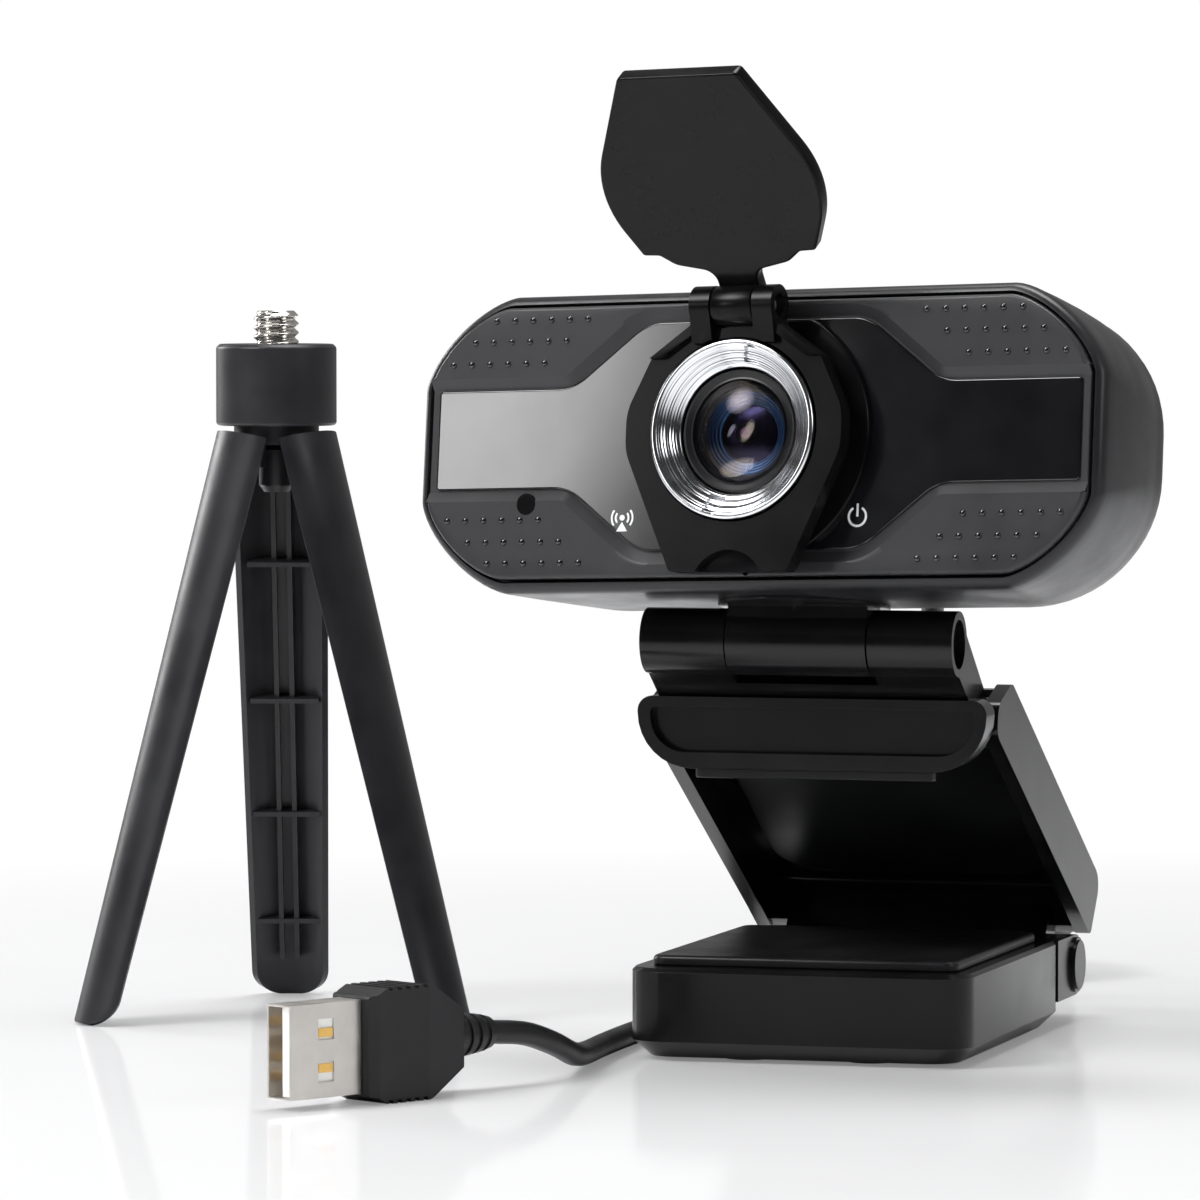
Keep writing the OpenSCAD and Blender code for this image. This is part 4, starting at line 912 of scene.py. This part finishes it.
# ---------------------------------------------------------------- privacy cover
class WEBCAM_OT_cover(bpy.types.Operator):
    """Privacy cover: the frame that clips round the ring, and the leaf that flips up on its hinge"""
    bl_idname = "webcam.cover"
    bl_label = "Privacy cover"

    def execute(self, context):
        z = sizes("cover")
        w, reach, t = z["half"], z["reach"], z["thick"]
        black = FINISH["cover_black"]
        seat_r, seat_top, bore = 17.3, 14.9, 13.75  # a disc cut level above and below, round the ring's frame
        a = np.linspace(0, FULL_TURN, 144, endpoint=False)
        disc = np.stack([seat_r * np.cos(a), np.clip(seat_r * np.sin(a), -seat_top, seat_top)], 1)
        v, f = holed(disc, edges(-0.45, 0.58, 0.25, 0.05), bore, HEAD)
        piece("cover_seat", v, f, "head", black, "cover_plastic", sharp=30)
        from_cad("cover_ring", "cover_frame", "head", black, 0.25, 3)
        half = rounded([(0, 0), (2.9, 0), (2.9, 4.3), (8.2, 5.5), (10.2, 7.0), (12.5, 7.1), (w + 1.4, 16.6),
                        (8.6, reach), (0, reach)], [0, 0, 2.0, 3.0, 1.0, 0.6, 13.5, 0.8, 0], 12)
        face, knuckle_r, knuckle_half = 1.5, 2.7, 2.95
        leaf = plate(mirrored(half), edges(face, face + t, 0.3, 0.45, 4), COVER)
        v, f = join_grids(leaf, rod(knuckle_r, -knuckle_half, knuckle_half, COVER))
        piece("flip_leaf", v, f, "cover", black, "cover_plastic", ("flip_cover",), 32)
        return {"FINISHED"}


# ---------------------------------------------------------------- stand
class WEBCAM_OT_stand(bpy.types.Operator):
    """Clip stand: foot, folding arm, clip and tilt knuckle, each with its moulded edges rounded"""
    bl_idname = "webcam.stand"
    bl_label = "Clip stand"

    def execute(self, context):
        edge = sizes("stand")["edge"]
        black, pad = FINISH["stand_black"], FINISH["pad_black"]
        for name, node, body, finish, slot, width in (
                ("foot_body", "foot_shell", "base", black, "shell_plastic", edge),
                ("foot_base", "foot_cover", "base", black, "shell_plastic", 0.15),
                ("foot_top_pad", "foot_pad", "base", pad, "soft_pad", 0.3),
                ("arm_body", "arm_shell", "arm", black, "shell_plastic", edge),
                ("arm_inlay", "arm_panel", "arm", FINISH["inlay_black"], "shell_plastic", 0.15),
                ("clip_jaw", "clip_body", "clip", black, "shell_plastic", edge),
                ("clip_grip", "clip_pad", "clip", pad, "rubber", 0.2),
                ("tilt_neck", "tilt_knuckle", "neck", black, "shell_plastic", 0.2)):
            from_cad(name, node, body, finish, width, 3)
        return {"FINISHED"}


# ---------------------------------------------------------------- tripod
LEG_TOP, LEG_FOOT, LEG_WALL = 9.2, 7.6, 1.3  # outer radius at the top and at the foot, and the wall
LEG_HALF, LEG_WIDER, LEG_END = 5.6, 1.45, 4.2  # half width at the foot, its growth to the top, rounding of the foot
LEG_UP, LEG_OPEN = 2.8, math.radians(16.5)  # how far a leg passes over its pin, and how far it stands open
RIB_SEAT = 0.4  # how deep a rib stands in the leg's wall


def leg(j):
    """One leg: an arc section whose radius and half width change with height, narrowed by a circle at its foot, with
    two long ribs, four cross ribs and two ears inside. Made upright, then opened about its pin."""
    pin = np.asarray(j["pos_m"]) / MM
    out = pin - np.append(apex[:2] / MM, pin[2])
    pin_r, pin_z = np.linalg.norm(out[:2]), pin[2] - table_z / MM
    long = (pin_z + (LEG_FOOT - LEG_WALL - pin_r) * math.sin(LEG_OPEN)) / math.cos(LEG_OPEN)

    def radius(h):
        return LEG_FOOT + (LEG_TOP - LEG_FOOT) * (h + long) / (LEG_UP + long)

    h = np.concatenate([-long + LEG_END * (1 - np.cos(np.radians(np.linspace(0, 90, 14)))),
                        np.linspace(-long + LEG_END, LEG_UP, 40)[1:]])
    half = LEG_HALF + LEG_WIDER * (h + long) / (LEG_UP + long)
    low = np.clip((LEG_END - (h + long)) / LEG_END, 0, 1)
    half -= LEG_END * (1 - np.sqrt(1 - low**2))
    r = radius(h)
    t = np.linspace(-1, 1, 21)[None]
    wide = np.arcsin(half / r)[:, None] * t
    thin = wide[:, ::-1] * 0.985  # the long edges lie almost on rays, so folded legs keep to their own third
    edge = 0.15
    ro = r[:, None] - edge * (np.abs(t) > 0.999)
    ri = r[:, None] - LEG_WALL + edge * (np.abs(t) > 0.999)
    arc = [np.stack([q * np.cos(k), q * np.sin(k), np.broadcast_to(h[:, None], k.shape)], -1)
           for q, k in ((ro, wide), (ri, thin))]
    grids = [skin(np.concatenate(arc, 1))]

    def inner(z, y):
        """Distance from the tripod's axis to just inside the wall, on a line at y beside the leg's middle."""
        return np.sqrt((radius(z) - LEG_WALL + RIB_SEAT) ** 2 - y**2)

    rib, rib_half = 0.7, 0.35
    for y in (-1.1, 1.1):
        z = np.linspace(-long + 6, -3, 12)
        x1 = inner(z, y)
        x0 = x1 - 2.0
        corners = [(x0, y - rib_half), (x1, y - rib_half), (x1, y + rib_half), (x0, y + rib_half)]
        grids.append(skin(np.stack([np.stack([x, np.full(len(z), w), z], 1) for x, w in corners], 1)))
    for c in (0.2, 0.45, 0.66, 0.86):  # the cross ribs' places down the leg
        y = np.linspace(-4.9, 4.9, 15)
        z = -long * c
        flat = np.concatenate([np.stack([np.full(len(y), 4.7), y[::-1]], 1), np.stack([inner(z, y), y], 1)])
        grids.append(skin([np.column_stack([flat, np.full(len(flat), q)]) for q in (z, z + rib)]))
    ear_r, ear_x = 1.6, LEG_TOP - 0.7
    ear = rounded([(pin_r - ear_r, -ear_r), (ear_x, -ear_r), (ear_x, ear_r), (pin_r - ear_r, ear_r)],
                  [1.55, 0.2, 0.2, 1.55], 8)
    for y in (-1.85, 1.85):
        grids.append(skin([at(ear, y + q) for q in (-0.55, 0.55)]))
    v, f = join_grids(*grids)
    c, s = math.cos(LEG_OPEN), math.sin(LEG_OPEN)
    x, y, z = v[:, 0] - pin_r, v[:, 1], v[:, 2]
    x, z = x * c - z * s + pin_r, x * s + z * c + pin_z
    a = math.atan2(out[1], out[0])
    return TRIPOD(np.stack([x * math.cos(a) - y * math.sin(a), x * math.sin(a) + y * math.cos(a), z], 1)), f


class WEBCAM_OT_tripod(bpy.types.Operator):
    """Mini tripod: head, hub, three folding legs and a screw. The screw's groove is deepest where its height over its
    pitch, less the turn, lies halfway between whole numbers, and its tip tapers"""
    bl_idname = "webcam.tripod"
    bl_label = "Tripod"

    def execute(self, context):
        z = sizes("tripod")
        for name, node in (("tripod_top", "tripod_head"), ("tripod_core", "tripod_hub")):
            from_cad(name, node, "tripod", FINISH["tripod_black"], z["edge"], 2)
        for side, j in zip(("left", "right", "rear"), leg_joints):
            piece("leg_" + side, *leg(j), "leg_" + side, FINISH["tripod_black"], "tripod_plastic",
                  ("tripod_leg_" + side,), 40)
        top = (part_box("tripod_screw")[1].z - table_z) / MM
        outer, tall, n, rows = 3.17, 4.8, 72, 84
        a = np.linspace(0, FULL_TURN, n, endpoint=False)
        h = np.linspace(top - tall + 0.01, top - 0.12, rows)
        turn = (h[:, None] / z["thread"] - a[None] / FULL_TURN) % 1
        depth = 0.5 * np.clip(1.25 - np.abs(2 * turn - 1) * 1.5, 0, 1)
        r = np.minimum(outer - depth, outer - np.clip(h[:, None] - (top - 0.8), 0, 1) * 0.95)
        rings = np.stack([r * np.cos(a), r * np.sin(a), np.broadcast_to(h[:, None], r.shape)], -1)
        v, f = skin([TRIPOD(q) for q in rings])
        piece("thread_screw", v, f, "tripod", FINISH["screw_steel"], "screw_metal", ("tripod_screw",), 40)
        return {"FINISHED"}


# ---------------------------------------------------------------- plug
class WEBCAM_OT_plug(bpy.types.Operator):
    """Plug: moulded boot with side grips and a metal shell"""
    bl_idname = "webcam.plug"
    bl_label = "Plug"

    def execute(self, context):
        from_cad("boot", "plug_boot", "base", FINISH["boot_black"], 0.2, 2)
        from_cad("shell", "plug_shell", "base", FINISH["shell_nickel"], 0.1, 2)
        return {"FINISHED"}


# ---------------------------------------------------------------- kept pieces
class WEBCAM_OT_fittings(bpy.types.Operator):
    """Pins, screws, boards and small parts that keep their own form and take a finish"""
    bl_idname = "webcam.fittings"
    bl_label = "Fittings"

    def execute(self, context):
        from_cad("cord_relief", "strain_relief", "head", FINISH["boot_black"], 0.2, 2)
        for finish, nodes in (
                ("print_white", ("panel_icons",)),
                ("insert_white", ("plug_insert",)),
                ("contact_gold", ("plug_contacts",)),
                ("brass", ("socket_nut", "microphone")),
                ("board_green", ("sensor_board", "main_board")),
                ("barrel_black", ("lens_holder",)),
                ("stand_black", ("foot_hinge_pin",)),
                ("rubber_black", ("rubber_feet",)),
                ("steel", ("foot_ballast", "foot_screws", "clip_hinge_pin", "tilt_pin", "swivel_screw",
                           "swivel_washer", "housing_screws", "cover_pin", "leg_pins"))):
            for node in nodes:
                data = frame["nodes"][node].data
                if not data.materials:
                    data.materials.append(FINISH[finish])
                for i in range(len(data.materials)):
                    data.materials[i] = FINISH[finish]
        return {"FINISHED"}


# ---------------------------------------------------------------- panel and registration
# In the order in which they run: the camera first, and the plug before the cord that ends at it.
OPERATORS = (WEBCAM_OT_stage, WEBCAM_OT_plug, WEBCAM_OT_cord, WEBCAM_OT_housing, WEBCAM_OT_bezel, WEBCAM_OT_panel,
             WEBCAM_OT_lens, WEBCAM_OT_cover, WEBCAM_OT_stand, WEBCAM_OT_tripod, WEBCAM_OT_fittings)


class WEBCAM_PT_pieces(bpy.types.Panel):
    """Lists the pieces and their sizes"""
    bl_label = "Webcam"
    bl_idname = "WEBCAM_PT_pieces"
    bl_space_type = "VIEW_3D"
    bl_region_type = "UI"
    bl_category = "Webcam"

    def draw(self, context):
        for operator in OPERATORS:
            self.layout.operator(operator.bl_idname, text=operator.bl_label)
        for group in GROUPS:
            box = self.layout.box()
            box.label(text=group.capitalize())
            settings = getattr(context.scene, "webcam_" + group)
            for key in GROUPS[group].__annotations__:
                box.prop(settings, key)


def register():
    for cls in (*GROUPS.values(), *OPERATORS, WEBCAM_PT_pieces):
        bpy.utils.register_class(cls)
    for name, cls in GROUPS.items():
        setattr(bpy.types.Scene, "webcam_" + name, bpy.props.PointerProperty(type=cls))


def unregister():
    for name in GROUPS:
        delattr(bpy.types.Scene, "webcam_" + name)
    for cls in (WEBCAM_PT_pieces, *OPERATORS[::-1], *reversed(GROUPS.values())):
        bpy.utils.unregister_class(cls)


def main():
    register()
    make_finishes(bpy.context.scene.webcam_finishes)
    for operator in OPERATORS:
        group, name = operator.bl_idname.split(".")
        getattr(getattr(bpy.ops, group), name)()


if __name__ == "__main__":
    main()
